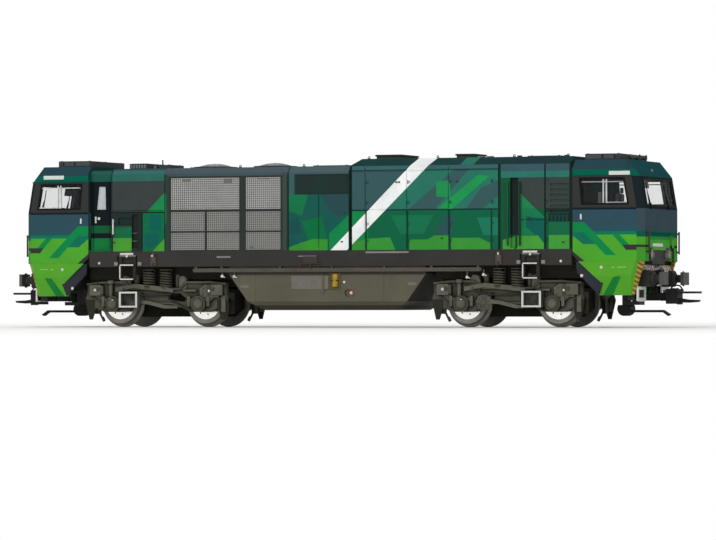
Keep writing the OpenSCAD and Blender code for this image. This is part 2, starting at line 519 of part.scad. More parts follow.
module bogie_gearbox(b) color("#26261f") on_rail() bogie_at(b) difference() {
  xz(-gear_y, gear_y) polygon([[-bogie_h + 3, 10], [bogie_h - 3, 10], [bogie_h - 3, 4.4], [bogie_h - 6, 2], [-bogie_h + 6, 2], [-bogie_h + 3, 4.4]]);
  box(-bolster_h, bolster_h, -gear_y - 1, gear_y + 1, bogie_top - bolster_t, 20);
  for (s = [-1, 1]) rod_y(s * half_base, axle_z, axle_d / 2 + run_gap, -gear_y - 1, gear_y + 1);
}
spring_x = 2.7;
spring_top = sill_z - 0.7;
module spring(x, y, z0, z1) {
  rod_z(x, y, 1.5, z0, z1);
  for (i = [0 : 4]) rod_z(x, y, 1.9, z0 + 0.2 + i * (z1 - z0 - 0.9) / 4, z0 + 0.7 + i * (z1 - z0 - 0.9) / 4);
}
module bogie_springs(b) color("#45443d") on_rail() bogie_at(b) both_sides() for (s = [-1, 1])
  spring(s * spring_x, -side_in - side_t / 2, bogie_top, spring_top);
module bogie_axle_boxes(b) color("#3f3e37") on_rail() bogie_at(b) both_sides() for (s = [-1, 1]) {
  rod_y(s * half_base, axle_z, 2.3, -side_out - 1.1, -side_out);
  rod_y(s * half_base, axle_z, 1.3, -side_out - 1.5, -side_out - 1.1);
  // guide arm and the spring box at the frame end
  xz(-side_out - 0.7, -side_out) polygon([[s * (half_base + 2.2), axle_z + 1.6], [s * (half_base + 3.4), axle_z + 0.6], [s * 19.6, 8.4], [s * 16.8, 8.4]]);
  box(s * 18.6 - 2, s * 18.6 + 2, -side_out - 1, -side_out, 8.5, 11.1);
  rod_y(s * 18.2, 10, 0.45, -side_out - 1.3, -side_out - 1);
}
module bogie_brakes(b) color("#3b3a33") on_rail() bogie_at(b) both_sides() for (s = [-1, 1]) {
  // hanger inside the frame end and the brake block at the tread
  translate([s * (bogie_h - 1), 0, 0]) box(-0.7, 0.7, -side_in, -wheel_in - 0.4, 7.4, 9);
  translate([s * (half_base + wheel_d / 2 + flange_h + 0.9), 0, 0]) box(-0.5, 0.5, -wheel_out, -wheel_in - 0.4, 2.8, 7.4);
  // rail guard at the frame end
  xz(-side_out, -side_out + 0.6) polygon([[s * (bogie_h - 2.6), 4.6], [s * bogie_h, 9], [s * (bogie_h + 0.7), 6.6], [s * (bogie_h - 0.6), 1.2], [s * (bogie_h - 1.5), 1.2]]);
  // dampers beside the springs, standing on the frame
  rod_z(s * (spring_x + 3.9), -side_in - side_t / 2, 0.8, bogie_top, spring_top - 1.6);
}
module bogie_steps(b) color("#c9ccc8") on_rail() bogie_at(b) both_sides() translate([ladder_x - pivot_x, 0, 0]) difference() {
  box(-2.9, 2.9, -side_out - 2.6, -side_out, 4.7, 9.3);
  box(-2.2, 2.2, -side_out - 4, -side_out - 0.5, 5.3, 8.7);
}
module bogie_1_frame() bogie_frame(1);
module bogie_2_frame() bogie_frame(2);
module bogie_1_gearbox() bogie_gearbox(1);
module bogie_2_gearbox() bogie_gearbox(2);
module bogie_1_springs() bogie_springs(1);
module bogie_2_springs() bogie_springs(2);
module bogie_1_axle_boxes() bogie_axle_boxes(1);
module bogie_2_axle_boxes() bogie_axle_boxes(2);
module bogie_1_brakes() bogie_brakes(1);
module bogie_2_brakes() bogie_brakes(2);
module bogie_1_steps() bogie_steps(1);
module bogie_2_steps() bogie_steps(2);

// ---- wheelsets, numbered from cab 1 to cab 2
axle_xs = [pivot_x + half_base, pivot_x - half_base, -pivot_x + half_base, -pivot_x - half_base];
module axle(i) color("#8b8d8c") on_rail() rod_y(axle_xs[i - 1], axle_z, axle_d / 2, -wheel_out - 0.6, wheel_out + 0.6);
disc_r = wheel_d / 2 - 1.6;
module wheel_pair(i) color("#9a9c99") on_rail() translate([axle_xs[i - 1], 0, axle_z]) both_sides() rotate([90, 0, 0]) difference() {
  rotate_extrude($fn = 72) polygon([
    [axle_d / 2 + 0.01, wheel_in], [wheel_d / 2 + flange_h - 0.3, wheel_in], [wheel_d / 2 + flange_h, wheel_in + 0.3],
    [wheel_d / 2 + flange_h - 0.1, wheel_in + 0.6], [wheel_d / 2 + 0.15, wheel_in + 0.95], [wheel_d / 2, wheel_out - 0.1],
    [wheel_d / 2 - 0.1, wheel_out], [disc_r + 0.2, wheel_out], [disc_r, wheel_out - 0.5],
    [axle_d / 2 + 1.2, wheel_out - 0.8], [axle_d / 2 + 1, wheel_out + 0.1], [axle_d / 2 + 0.01, wheel_out + 0.1]]);
  for (a = [0 : 45 : 315]) rotate([0, 0, a + 10]) translate([disc_r - 0.9, 0, wheel_out - 1.1]) cylinder(r = 0.28, h = 2, $fn = 24);
}
module axle_1() axle(1);
module axle_2() axle(2);
module axle_3() axle(3);
module axle_4() axle(4);
module wheels_1() wheel_pair(1);
module wheels_2() wheel_pair(2);
module wheels_3() wheel_pair(3);
module wheels_4() wheel_pair(4);

// ---- couplers: a shank on its swing pin and a loop-and-hook head
module coupler_shank(e) color("#2f3030") on_rail() at_end(e) difference() {
  union() {
    rod_z(coupler_x, 0, 1.7, coupler_z - coupler_half, coupler_z + coupler_half);
    box(coupler_x, length / 2 - 2.2, -1.1, 1.1, coupler_z - coupler_half, coupler_z + coupler_half);
  }
  rod_z(coupler_x, 0, coupler_pin_d / 2 + run_gap, 0, 20);
}
head_x = length / 2 - 2.2;
tip_x = length / 2 + coupler_out;
module coupler_head(e) color("#232424") on_rail() at_end(e) {
  box(head_x, head_x + 3.4, -2.6, 2.6, coupler_z - 2, coupler_z + 2.2);
  // upper loop
  difference() {
    box(head_x + 3.4, tip_x - 0.4, -3.2, 3.2, coupler_z + 0.9, coupler_z + 1.5);
    box(head_x + 4.6, tip_x - 1.3, -2.4, 2.4, coupler_z, coupler_z + 3);
  }
  // lower hook
  xz(-1.1, 1.1) polygon([[head_x + 3.4, coupler_z - 0.4], [tip_x - 3.4, coupler_z - 0.8], [tip_x, coupler_z - 0.9],
    [tip_x - 0.4, coupler_z - 1.5], [tip_x - 3.4, coupler_z - 1.7], [head_x + 3.4, coupler_z - 1.6]]);
}
module coupler_1_shank() coupler_shank(1);
module coupler_2_shank() coupler_shank(2);
module coupler_1_head() coupler_head(1);
module coupler_2_head() coupler_head(2);

main_frame();
fuel_tank();
cab_1();
cab_2();
cab_1_glazing();
cab_2_glazing();
cab_1_interior();
cab_2_interior();
entry();
entry_glazing();
equipment_hood();
cooling_hood();
cooling_grilles();
middle_hood();
engine_hood();
auxiliary_hood();
cab_1_air_conditioner();
cab_2_air_conditioner();
cooling_fans();
exhaust_boxes();
roof_hatches();
horns();
apron_1();
apron_2();
buffers_1();
buffers_2();
headlights_1();
headlights_2();
ladders();
handrails();
front_steps();
pipework();
coupler_brackets();
drive_motor();
bogie_1_frame();
bogie_1_gearbox();
bogie_1_springs();
bogie_1_axle_boxes();
bogie_1_brakes();
bogie_1_steps();
bogie_2_frame();
bogie_2_gearbox();
bogie_2_springs();
bogie_2_axle_boxes();
bogie_2_brakes();
bogie_2_steps();
axle_1();
wheels_1();
axle_2();
wheels_2();
axle_3();
wheels_3();
axle_4();
wheels_4();
coupler_1_shank();
coupler_1_head();
coupler_2_shank();
coupler_2_head();
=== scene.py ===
"""H0 model of a twin-cab diesel locomotive: paints, small fittings, light and view.

Sizes in the classes are millimetres in the frame of the construction: X along the
model towards cab 1, Y across it, Z up from the level of the wheel flanges.
"""

import logging
import math
from collections.abc import Iterable, Sequence
from dataclasses import dataclass
from enum import Enum

import bmesh
import bpy
from mathutils import Matrix, Vector


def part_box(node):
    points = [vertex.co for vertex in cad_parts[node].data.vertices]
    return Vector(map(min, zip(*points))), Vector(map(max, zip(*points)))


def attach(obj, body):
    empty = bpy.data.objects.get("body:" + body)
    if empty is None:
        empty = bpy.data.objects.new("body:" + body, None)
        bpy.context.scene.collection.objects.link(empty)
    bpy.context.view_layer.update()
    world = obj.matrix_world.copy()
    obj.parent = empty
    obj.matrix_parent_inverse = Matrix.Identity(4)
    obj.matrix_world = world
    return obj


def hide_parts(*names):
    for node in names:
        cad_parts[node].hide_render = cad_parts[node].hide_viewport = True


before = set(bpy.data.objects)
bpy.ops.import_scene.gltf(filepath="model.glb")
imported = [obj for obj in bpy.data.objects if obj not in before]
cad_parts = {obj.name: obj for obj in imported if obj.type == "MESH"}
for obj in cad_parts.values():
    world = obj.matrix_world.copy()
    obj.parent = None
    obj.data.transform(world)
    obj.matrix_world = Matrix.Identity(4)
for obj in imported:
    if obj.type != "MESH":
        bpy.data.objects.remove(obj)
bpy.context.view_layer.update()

MM = 0.001
LOG = logging.getLogger("locomotive")
Pair = tuple[float, float]
Point = tuple[float, float, float]
Area = tuple[float, float, float, float]
Outline = tuple[Pair, ...]

PAINT_EDGE = 0.06  # width of the soft edge of a field of paint
END_ON = 0.74  # how far along X a face has to point to count as an end
CLOUD_CONTRAST = (2.2, -0.7)  # factor and offset that turn noise into clouds of shade
SPECK_CONTRAST = (0.5, -0.16)
# Factor and offset that turn ambient occlusion into painted shade in the corners.
CORNER_CONTRAST = (1.7, -0.65)
ROUGHNESS_SPREAD = 0.16
RIB_PITCH = 1.1  # spacing of the ribs pressed into a hood's sheet
CHAMFER = 0.12  # part of a rod's radius that its end is cut back by
SHARP_ANGLE = math.radians(34)
BEVEL_ANGLE = math.radians(40)


class Body(Enum):
    """The moving groups that a piece can ride on."""

    SHELL = "locomotive_body"
    BOGIE_1 = "bogie_1"
    BOGIE_2 = "bogie_2"
    WHEELSET_1 = "wheelset_1"
    WHEELSET_2 = "wheelset_2"
    WHEELSET_3 = "wheelset_3"
    WHEELSET_4 = "wheelset_4"
    COUPLER_1 = "coupler_1"
    COUPLER_2 = "coupler_2"


class Facing(Enum):
    """The direction that a field of paint is laid out from."""

    SIDE = "side"
    END = "end"


class Axis(Enum):
    """An axis of the model, as its place in a vector."""

    X = 0
    Y = 1
    Z = 2


# ---------------------------------------------------------------- finishes


def linear(colour: str) -> tuple[float, float, float, float]:
    """Turns a #rrggbb colour into linear light.

    Args:
        colour: The colour as #rrggbb.

    Returns:
        Red, green, blue and an alpha of one.
    """
    parts = [int(colour[i : i + 2], 16) / 255 for i in (1, 3, 5)]
    light = [c / 12.92 if c <= 0.04045 else ((c + 0.055) / 1.055) ** 2.4 for c in parts]
    return (light[0], light[1], light[2], 1.0)


def turning(outline: Outline) -> int:
    """Gives one for corners that run anticlockwise and minus one for clockwise."""
    area = sum(a[0] * b[1] - b[0] * a[1] for a, b in zip(outline, outline[1:] + outline[:1]))
    return 1 if area > 0 else -1


def rectangle(u0: float, u1: float, v0: float, v1: float) -> Outline:
    """The four corners of an upright rectangle."""
    return ((u0, v0), (u1, v0), (u1, v1), (u0, v1))


class Graph:
    """A material's node tree, with short calls for the nodes used here."""

    def __init__(self, name: str) -> None:
        """Starts an empty material.

        Args:
            name: Name of the material.
        """
        self.material = bpy.data.materials.new(name)
        self.material.use_nodes = True
        self.tree = self.material.node_tree
        self.tree.nodes.clear()
        self.shader = self.tree.nodes.new("ShaderNodeBsdfPrincipled")
        output = self.tree.nodes.new("ShaderNodeOutputMaterial")
        self.link(self.shader.outputs["BSDF"], output.inputs["Surface"])
        place = self.tree.nodes.new("ShaderNodeTexCoord")
        scaled = self.tree.nodes.new("ShaderNodeVectorMath")
        scaled.operation = "SCALE"
        scaled.inputs["Scale"].default_value = 1 / MM
        self.link(place.outputs["Object"], scaled.inputs[0])
        self.place = scaled.outputs[0]
        split = self.tree.nodes.new("ShaderNodeSeparateXYZ")
        self.link(self.place, split.inputs[0])
        self.x, self.y, self.z = split.outputs

    def link(self, source: bpy.types.NodeSocket, target: bpy.types.NodeSocket) -> None:
        """Joins two sockets."""
        self.tree.links.new(source, target)

    def math(self, operation: str, *values: object, clamp: bool = False) -> bpy.types.NodeSocket:
        """Adds one Math node.

        Args:
            operation: The node's operation.
            values: Numbers or sockets for its inputs.
            clamp: Keeps the result between nought and one.

        Returns:
            The result's socket.
        """
        node = self.tree.nodes.new("ShaderNodeMath")
        node.operation = operation
        node.use_clamp = clamp
        for i, value in enumerate(values):
            if isinstance(value, (int, float)):
                node.inputs[i].default_value = value
            else:
                self.link(value, node.inputs[i])
        return node.outputs[0]

    def noise(self, size: float, detail: float = 3.0, stretch: Point = (1, 1, 1)) -> bpy.types.NodeSocket:
        """Adds a noise whose blotches are about size millimetres.

        Args:
            size: Size of a blotch in millimetres.
            detail: Octaves of finer noise.
            stretch: Factor on each axis; less than one draws the blotches out.

        Returns:
            The noise, from nought to one.
        """
        drawn = self.tree.nodes.new("ShaderNodeVectorMath")
        drawn.operation = "MULTIPLY"
        drawn.inputs[1].default_value = stretch
        self.link(self.place, drawn.inputs[0])
        node = self.tree.nodes.new("ShaderNodeTexNoise")
        node.inputs["Scale"].default_value = 1 / size
        node.inputs["Detail"].default_value = detail
        node.inputs["Roughness"].default_value = 0.6
        self.link(drawn.outputs[0], node.inputs["Vector"])
        return node.outputs["Fac"]

    def mix(self, factor: bpy.types.NodeSocket, low: object, high: object) -> bpy.types.NodeSocket:
        """Mixes two colours.

        Args:
            factor: Socket; one gives the second colour.
            low: First colour as #rrggbb or a socket.
            high: Second colour as #rrggbb or a socket.

        Returns:
            The mixed colour.
        """
        node = self.tree.nodes.new("ShaderNodeMix")
        node.data_type = "RGBA"
        sockets = [s for s in node.inputs if s.type == "RGBA"]
        for value, socket in ((low, sockets[0]), (high, sockets[1])):
            if isinstance(value, str):
                socket.default_value = linear(value)
            else:
                self.link(value, socket)
        self.link(factor, node.inputs[0])
        return next(s for s in node.outputs if s.type == "RGBA")

    def inside(self, outline: Outline, across: bpy.types.NodeSocket) -> bpy.types.NodeSocket:
        """Masks a convex outline, with a thin soft edge.

        Args:
            outline: Corners as (across, height) in millimetres.
            across: Socket with the first coordinate.

        Returns:
            One inside the outline and nought outside.
        """
        side = turning(outline)
        depth = None
        for a, b in zip(outline, outline[1:] + outline[:1]):
            length = math.dist(a, b)
            nx, nz = -side * (b[1] - a[1]) / length, side * (b[0] - a[0]) / length
            part = self.math("MULTIPLY_ADD", self.z, nz, -(nx * a[0] + nz * a[1]))
            part = self.math("MULTIPLY_ADD", across, nx, part)
            depth = part if depth is None else self.math("MINIMUM", depth, part)
        return self.math("MULTIPLY_ADD", depth, 1 / PAINT_EDGE, 0.5, clamp=True)

    def bump(self, height: bpy.types.NodeSocket, depth: float, rounding: float) -> None:
        """Gives the surface relief and soft edges.

        Args:
            height: Socket with the relief.
            depth: Depth of the relief in millimetres.
            rounding: Radius of rounded edges in millimetres.
        """
        node = self.tree.nodes.new("ShaderNodeBump")
        node.inputs["Distance"].default_value = depth * MM
        node.inputs["Strength"].default_value = 1.0
        self.link(height, node.inputs["Height"])
        if rounding:
            edge = self.tree.nodes.new("ShaderNodeBevel")
            edge.samples = 4
            edge.inputs["Radius"].default_value = rounding * MM
            self.link(edge.outputs[0], node.inputs["Normal"])
        self.link(node.outputs[0], self.shader.inputs["Normal"])


@dataclass(frozen=True)
class Finish:
    """A painted, moulded or turned surface with grain, cloudy shade and soft edges.

    Attributes:
        name: Name of the material.
        colour: Main colour as #rrggbb.
        shade: Colour of the darker clouds and of dust in the grain.
        roughness: Middle roughness.
        metallic: One for bare metal.
        cloud: Size of the clouds in millimetres.
        cloudiness: How much of the shade the clouds take.
        grain: Size of the grain in millimetres.
        depth: Depth of the grain in millimetres.
        rounding: Radius of rounded edges in millimetres.
        stretch: Draws the grain out along an axis.
        gloss: Specular level of the surface.
        recess: Width in millimetres of the corners and recesses that painted shade darkens; nothing for no
            painted shade.
        corner_shade: Colour of the painted shade in those corners.
    """

    name: str
    colour: str
    shade: str
    roughness: float = 0.5
    metallic: float = 0.0
    cloud: float = 9.0
    cloudiness: float = 0.5
    grain: float = 0.25
    depth: float = 0.012
    rounding: float = 0.12
    stretch: Point = (1, 1, 1)
    gloss: float = 0.05
    recess: float = 0.0
    corner_shade: str = "#131310"

    def colours(self, graph: Graph) -> bpy.types.NodeSocket | None:
        """Lays out the finish's own fields of colour; a plain finish has none."""
        return None

    def relief(self, graph: Graph, grain: bpy.types.NodeSocket) -> bpy.types.NodeSocket:
        """Gives the height of the surface; a plain finish has only its grain."""
        return grain

    def material(self) -> bpy.types.Material:
        """Builds the material once and hands the same one out later.

        Returns:
            The material.
        """
        name = f"{self.name}_finish"
        known = bpy.data.materials.get(name)
        if known is None:
            graph = Graph(name)
            self.fill(graph)
            known = graph.material
        return known

    def fill(self, graph: Graph) -> None:
        """Links the colour, gloss and relief to the shader.

        Args:
            graph: The material's empty node tree.
        """
        clouds = graph.noise(self.cloud, 4.0)
        grain = graph.noise(self.grain, 2.0, self.stretch)
        base = self.colours(graph)
        amount = graph.math("MULTIPLY_ADD", clouds, *CLOUD_CONTRAST, clamp=True)
        amount = graph.math("MULTIPLY", amount, self.cloudiness)
        colour = graph.mix(amount, base if base is not None else self.colour, self.shade)
        speck = graph.math("MULTIPLY_ADD", grain, *SPECK_CONTRAST, clamp=True)
        colour = graph.mix(graph.math("MULTIPLY", speck, self.cloudiness), colour, self.shade)
        # Painted shade: ambient occlusion darkens corners and recesses towards the corner shade colour.
        if self.recess:
            corners = graph.tree.nodes.new("ShaderNodeAmbientOcclusion")
            corners.samples = 6
            corners.inputs["Distance"].default_value = self.recess * MM
            clear = graph.math("MULTIPLY_ADD", corners.outputs["AO"], *CORNER_CONTRAST, clamp=True)
            colour = graph.mix(clear, self.corner_shade, colour)
        graph.link(colour, graph.shader.inputs["Base Color"])
        least = self.roughness - ROUGHNESS_SPREAD / 2
        rough = graph.math("MULTIPLY_ADD", graph.noise(self.cloud / 3), ROUGHNESS_SPREAD, least, clamp=True)
        graph.link(rough, graph.shader.inputs["Roughness"])
        graph.shader.inputs["Metallic"].default_value = self.metallic
        graph.shader.inputs["Specular IOR Level"].default_value = self.gloss
        graph.bump(self.relief(graph, grain), self.depth, self.rounding)


@dataclass(frozen=True)
class Patch:
    """One straight-edged field of paint.

    Attributes:
        colour: Colour as #rrggbb.
        outline: Convex corners in millimetres, (x, z) from the side or (y, z) from the end.
        facing: The side that the outline is laid out from.
    """

    colour: str
    outline: Outline
    facing: Facing = Facing.SIDE


def strip(colour: str, x0: float, x1: float, z0: float, z1: float, facing: Facing = Facing.SIDE) -> Patch:
    """A level rectangle of paint between two places and two heights."""
    return Patch(colour, rectangle(x0, x1, z0, z1), facing)


def end_strip(colour: str, half: float, z0: float, z1: float) -> Patch:
    """A level band on the ends, reaching as far as half to each side of the middle."""
    return strip(colour, -half, half, z0, z1, Facing.END)


@dataclass(frozen=True)
class Livery(Finish):
    """Satin paint in straight-edged fields, the same on both sides of the model.

    Attributes:
        patches: Fields of paint, the later ones over the earlier ones.
        both_ends: Lays the fields out from the middle, so that both ends match.
        ribs: Field of upright ribs pressed into the sheet, as (x0, x1, z0, z1).
    """

    patches: tuple[Patch, ...] = ()
    both_ends: bool = False
    ribs: Area | None = None

    def colours(self, graph: Graph) -> bpy.types.NodeSocket | None:
        """Lays the fields over the ground colour."""
        along = graph.math("ABSOLUTE", graph.x) if self.both_ends else graph.x
        across = graph.math("ABSOLUTE", graph.y)
        normal = graph.tree.nodes.new("ShaderNodeTexCoord").outputs["Normal"]
        split = graph.tree.nodes.new("ShaderNodeSeparateXYZ")
        graph.link(normal, split.inputs[0])
        end_on = graph.math("GREATER_THAN", graph.math("ABSOLUTE", split.outputs[0]), END_ON)
        colour: object = self.colour
        for facing, mask in ((Facing.SIDE, None), (Facing.END, end_on)):
            for patch in (p for p in self.patches if p.facing is facing):
                where = graph.inside(patch.outline, along if facing is Facing.SIDE else across)
                if mask is not None:
                    where = graph.math("MULTIPLY", where, mask)
                colour = graph.mix(where, colour, patch.colour)
        return colour

    def relief(self, graph: Graph, grain: bpy.types.NodeSocket) -> bpy.types.NodeSocket:
        """Adds the pressed ribs to the grain."""
        height = graph.math("MULTIPLY", grain, 0.15)
        if self.ribs is not None:
            wave = graph.math("SINE", graph.math("MULTIPLY", graph.x, 2 * math.pi / RIB_PITCH))
            where = graph.inside(rectangle(*self.ribs), graph.x)
            height = graph.math("MULTIPLY_ADD", graph.math("MULTIPLY", wave, where), 1.4, height)
        return height


@dataclass(frozen=True)
class Clear(Finish):
    """A thin clear pane or lens.

    Attributes:
        opacity: How much of what lies behind is hidden.
    """

    opacity: float = 0.2

    def fill(self, graph: Graph) -> None:
        """Makes the pane clear, with faint streaks in its gloss."""
        streaks = graph.noise(2.5, 3.0, (1, 1, 0.3))
        graph.link(graph.mix(streaks, self.colour, self.shade), graph.shader.inputs["Base Color"])
        rough = graph.math("MULTIPLY_ADD", streaks, 0.08, self.roughness, clamp=True)
        graph.link(rough, graph.shader.inputs["Roughness"])
        graph.shader.inputs["Alpha"].default_value = self.opacity
        graph.shader.inputs["IOR"].default_value = 1.45


@dataclass(frozen=True)
class EdgeStripes(Livery):
    """Apron paint with slanted red and yellow stripes along its front edge.

    Attributes:
        edge: Outline of the striped edge.
        pitch: Height of one pair of stripes.
    """

    edge: Outline = ()
    pitch: float = 1.5

    def colours(self, graph: Graph) -> bpy.types.NodeSocket | None:
        """Lays the striped edge over the fields."""
        colour = super().colours(graph)
        along = graph.math("ABSOLUTE", graph.x)
        slope = graph.math("ADD", graph.math("MULTIPLY", along, 0.8), graph.z)
        phase = graph.math("FRACT", graph.math("MULTIPLY", slope, 1 / self.pitch))
        stripes = graph.mix(graph.math("GREATER_THAN", phase, 0.5), "#b8a648", "#8a4a33")
        return graph.mix(graph.inside(self.edge, along), colour, stripes)


NAVY, SLATE, TEAL, GREEN, LIME = "#33505c", "#3a585d", "#17725a", "#148a49", "#52ab30"
SILL, WHITE = "#3a3938", "#fbfdfc"
WHOLE, CAB_SPAN = (-99.0, 99.0), (60.0, 110.0)
BAND = Patch(WHITE, ((0.7, 21), (5.6, 21), (35.6, 49.8), (30, 49.8)))


@dataclass(frozen=True)
class Paintshop:
    """Every finish of the model."""

    frame_grey: Finish = Finish("frame_grey", SILL, "#2b2a29", 0.5, cloud=14, grain=0.3, depth=0.02)
    # The darker strips are painted shade: on the bottom, which faces down, under the pipe ledge, and on the
    # slanted ends.
    tank_grey: Finish = Livery(
        "tank_grey", "#666355", "#47453b", 0.55, cloud=11, grain=0.35, depth=0.02,
        patches=(
            strip("#3d3d34", *WHOLE, 0, 6.3), strip("#3f3d35", *WHOLE, 15.0, 16.5),
            end_strip("#2c2c24", 20, 0, 18),
        ),
    )
    glass: Finish = Clear("window_glass", "#566264", "#454f51", 0.03, opacity=0.09)
    door_glass: Finish = Clear("door_glass", "#cdd5da", "#b5bfc5", 0.06, opacity=0.72)
    lens: Finish = Clear("lamp_lens", "#8f908a", "#74756f", 0.05, opacity=0.5)
    red_lens: Finish = Clear("red_lens", "#7c2a24", "#571a16", 0.08, opacity=0.9)
    silver: Finish = Finish("reflector", "#8e8e88", "#6b6b66", 0.25, 1.0, rounding=0)
    interior: Finish = Finish("interior_plastic", "#9a9993", "#75736d", 0.6, cloud=5)
    desk: Finish = Finish("desk_grey", "#5a5e60", "#3c3f40", 0.6, cloud=4)
    mesh: Finish = Livery(
        "grille_metal", "#b0b0ae", "#8a8a88", 0.45, cloud=6, cloudiness=0.3, rounding=0,
        patches=(strip("#959592", -99, 0, 20, 33.4),),
    )
    mesh_back: Finish = Finish("grille_shadow", "#5f5f5b", "#454542", 0.7, cloud=6, rounding=0)
    roof: Finish = Finish("roof_grey", "#454b4c", "#2c3131", 0.6, cloud=7, grain=0.3, depth=0.02)
    roof_light: Finish = Finish("roof_light_grey", "#85898a", "#5d6163", 0.55, cloud=5, grain=0.3)
    black: Finish = Finish("matt_black", "#3c3d3a", "#272826", 0.6, cloud=5)
    # The lighter heads of the buffers are a painted sheen.
    buffer: Finish = Livery(
        "buffer_black", "#363734", "#232422", 0.55, cloud=4, both_ends=True,
        patches=(strip("#5d5e5b", 97.3, 110, 0, 99),),
    )
    rubber: Finish = Finish("gasket_black", "#1c1c1b", "#101010", 0.7, cloud=4, rounding=0.05)
    step_white: Finish = Finish(
        "step_white", "#dfe1db", "#a9aaa2", 0.4, cloud=3, cloudiness=0.35, rounding=0.06
    )
    motor: Finish = Finish("motor_metal", "#59544e", "#3b3733", 0.6, 0.4)
    # Painted shade darkens the bogie's corners and recesses; the lower ends of the side frames are painted
    # darker.
    bogie: Finish = Livery(
        "bogie_grey", "#5a594e", "#33322a", 0.62, cloud=6, cloudiness=0.6, grain=0.3, depth=0.03, recess=1.6,
        both_ends=True, patches=(strip("#302f29", 30, 34.8, 0, 8), strip("#302f29", 73.6, 78, 0, 8)),
    )
    # A lighter copy of the bogie grey for the small raised fittings, with painted shade in their corners.
    bogie_light: Finish = Finish(
        "bogie_pale_grey", "#66655b", "#3a3932", 0.6, cloud=3, cloudiness=0.6, depth=0.03, recess=1.2
    )
    gearbox: Finish = Finish("gearbox_black", "#26261f", "#15150f", 0.65, cloud=6)
    axle: Finish = Finish(
        "axle_steel", "#b5b5b2", "#7c7c79", 0.3, 1.0, grain=0.12, stretch=(1, 0.05, 1), rounding=0.05
    )
    wheel: Finish = Finish("wheel_steel", "#96938b", "#5d5a53", 0.4, 0.4, cloud=3, grain=0.15, rounding=0.05)
    disc: Finish = Finish(
        "wheel_disc", "#fbfaf6", "#d8d6cf", 0.16, 1.0, cloud=2, cloudiness=0.3, depth=0.003, rounding=0
    )
    coupler: Finish = Finish("coupler_black", "#272828", "#151616", 0.5, cloud=4)
    bolt: Finish = Finish("bright_bolt", "#dad8cf", "#97958c", 0.35, 0.3, cloud=1, rounding=0.04)
    brass: Finish = Finish("gauge_brass", "#b08f38", "#6f5a24", 0.4, 0.3, cloud=1.5, rounding=0.04)
    gauge_back: Finish = Finish("gauge_back", "#6b5d33", "#453c22", 0.5, cloud=1.5, rounding=0.04)
    orange: Finish = Finish("port_orange", "#8d5f33", "#5c3d20", 0.5, cloud=1.5, rounding=0.04)
    plate: Finish = Finish("blank_plate", "#d6dcd6", "#b3bab3", 0.45, cloud=2, cloudiness=0.3, rounding=0.03)
    tank_plate: Finish = Finish("tank_plate", "#74726a", "#5f5d54", 0.5, cloud=2, rounding=0.03)
    window_bar: Finish = Livery(
        "window_bar", "#a3a7a5", "#7a7e7c", 0.45, cloud=2, rounding=0.03,
        patches=(strip("#dcdfde", 82.9, 84.6, 30, 45), strip("#e6e9e9", -99, 0, 30, 45)),
    )
    lamp_grey: Finish = Finish("lamp_housing", "#74746f", "#4b4b47", 0.5, cloud=2, rounding=0.05)
    trim: Finish = Finish("gutter_green", "#14463f", "#0e332e", 0.4, cloud=4, rounding=0.03)
    brace: Finish = Finish("brace_grey", "#33353c", "#222329", 0.5, cloud=5, rounding=0.1)
    unit_panel: Finish = Finish("unit_panel", "#585c60", "#3f4346", 0.55, cloud=4, rounding=0.08)
    rail: Finish = Livery(
        "handrail_paint", "#453b37", "#302925", 0.45, cloud=3, rounding=0.03,
        patches=(
            strip("#d9dcd6", -68, -64, 25, 34), strip("#1c6143", 54, 56.6, 20, 45),
            strip("#27332f", 57.4, 61, 20, 45),
        ),
    )
    pipe: Finish = Livery(
        "pipe_grey", "#5b5650", "#3c3833", 0.5, cloud=4, rounding=0.05,
        patches=(strip("#403c3a", -12, 2, 17.6, 21.2),),
    )
    bogie_step: Finish = Livery(
        "bogie_step_paint", "#d6d7d0", "#a5a69e", 0.45, cloud=3, cloudiness=0.3, rounding=0.04,
        both_ends=True, patches=(strip("#2a2925", 59.6, 64.2, 6.2, 9.8), end_strip("#33322d", 99, 0, 99)),
    )
    ladder: Finish = Livery(
        "ladder_paint", "#34332f", "#22211e", 0.5, cloud=3, rounding=0.05,
        patches=(strip("#c6c7c0", *WHOLE, 20.6, 23),),
    )
    sill_plate: Finish = Finish("sill_plate", "#8c8a86", "#63615d", 0.5, cloud=2, rounding=0.03)
    # A lighter copy of the bogie grey on the raised castings, a painted highlight, with painted shade in
    # their corners.
    bogie_relief: Finish = Finish(
        "bogie_relief", "#6b6a5e", "#3d3c33", 0.6, cloud=4, cloudiness=0.6, depth=0.03, recess=1.6
    )
    # Painted shade in the corners of the springs.
    bogie_spring: Finish = Finish("bogie_spring", "#5c5b50", "#302f28", cloud=3, recess=0.8)
    # Partly the real inner frame and partly a dark filler that stands for the shade under the body.
    shade: Finish = Finish("inner_frame_in_shade", "#3b3932", "#26251f", 0.7, cloud=6)
    valve: Finish = Finish("valve_brown", "#503c35", "#33261f", 0.5, cloud=2, rounding=0.04)
    dome: Finish = Finish("fan_guard", "#9a9da0", "#686c6f", 0.45, 0.3, cloud=4, rounding=0.02)
    hose: Finish = Finish("hose_pale", "#d8cdc4", "#a99d93", 0.6, cloud=2, rounding=0.03)
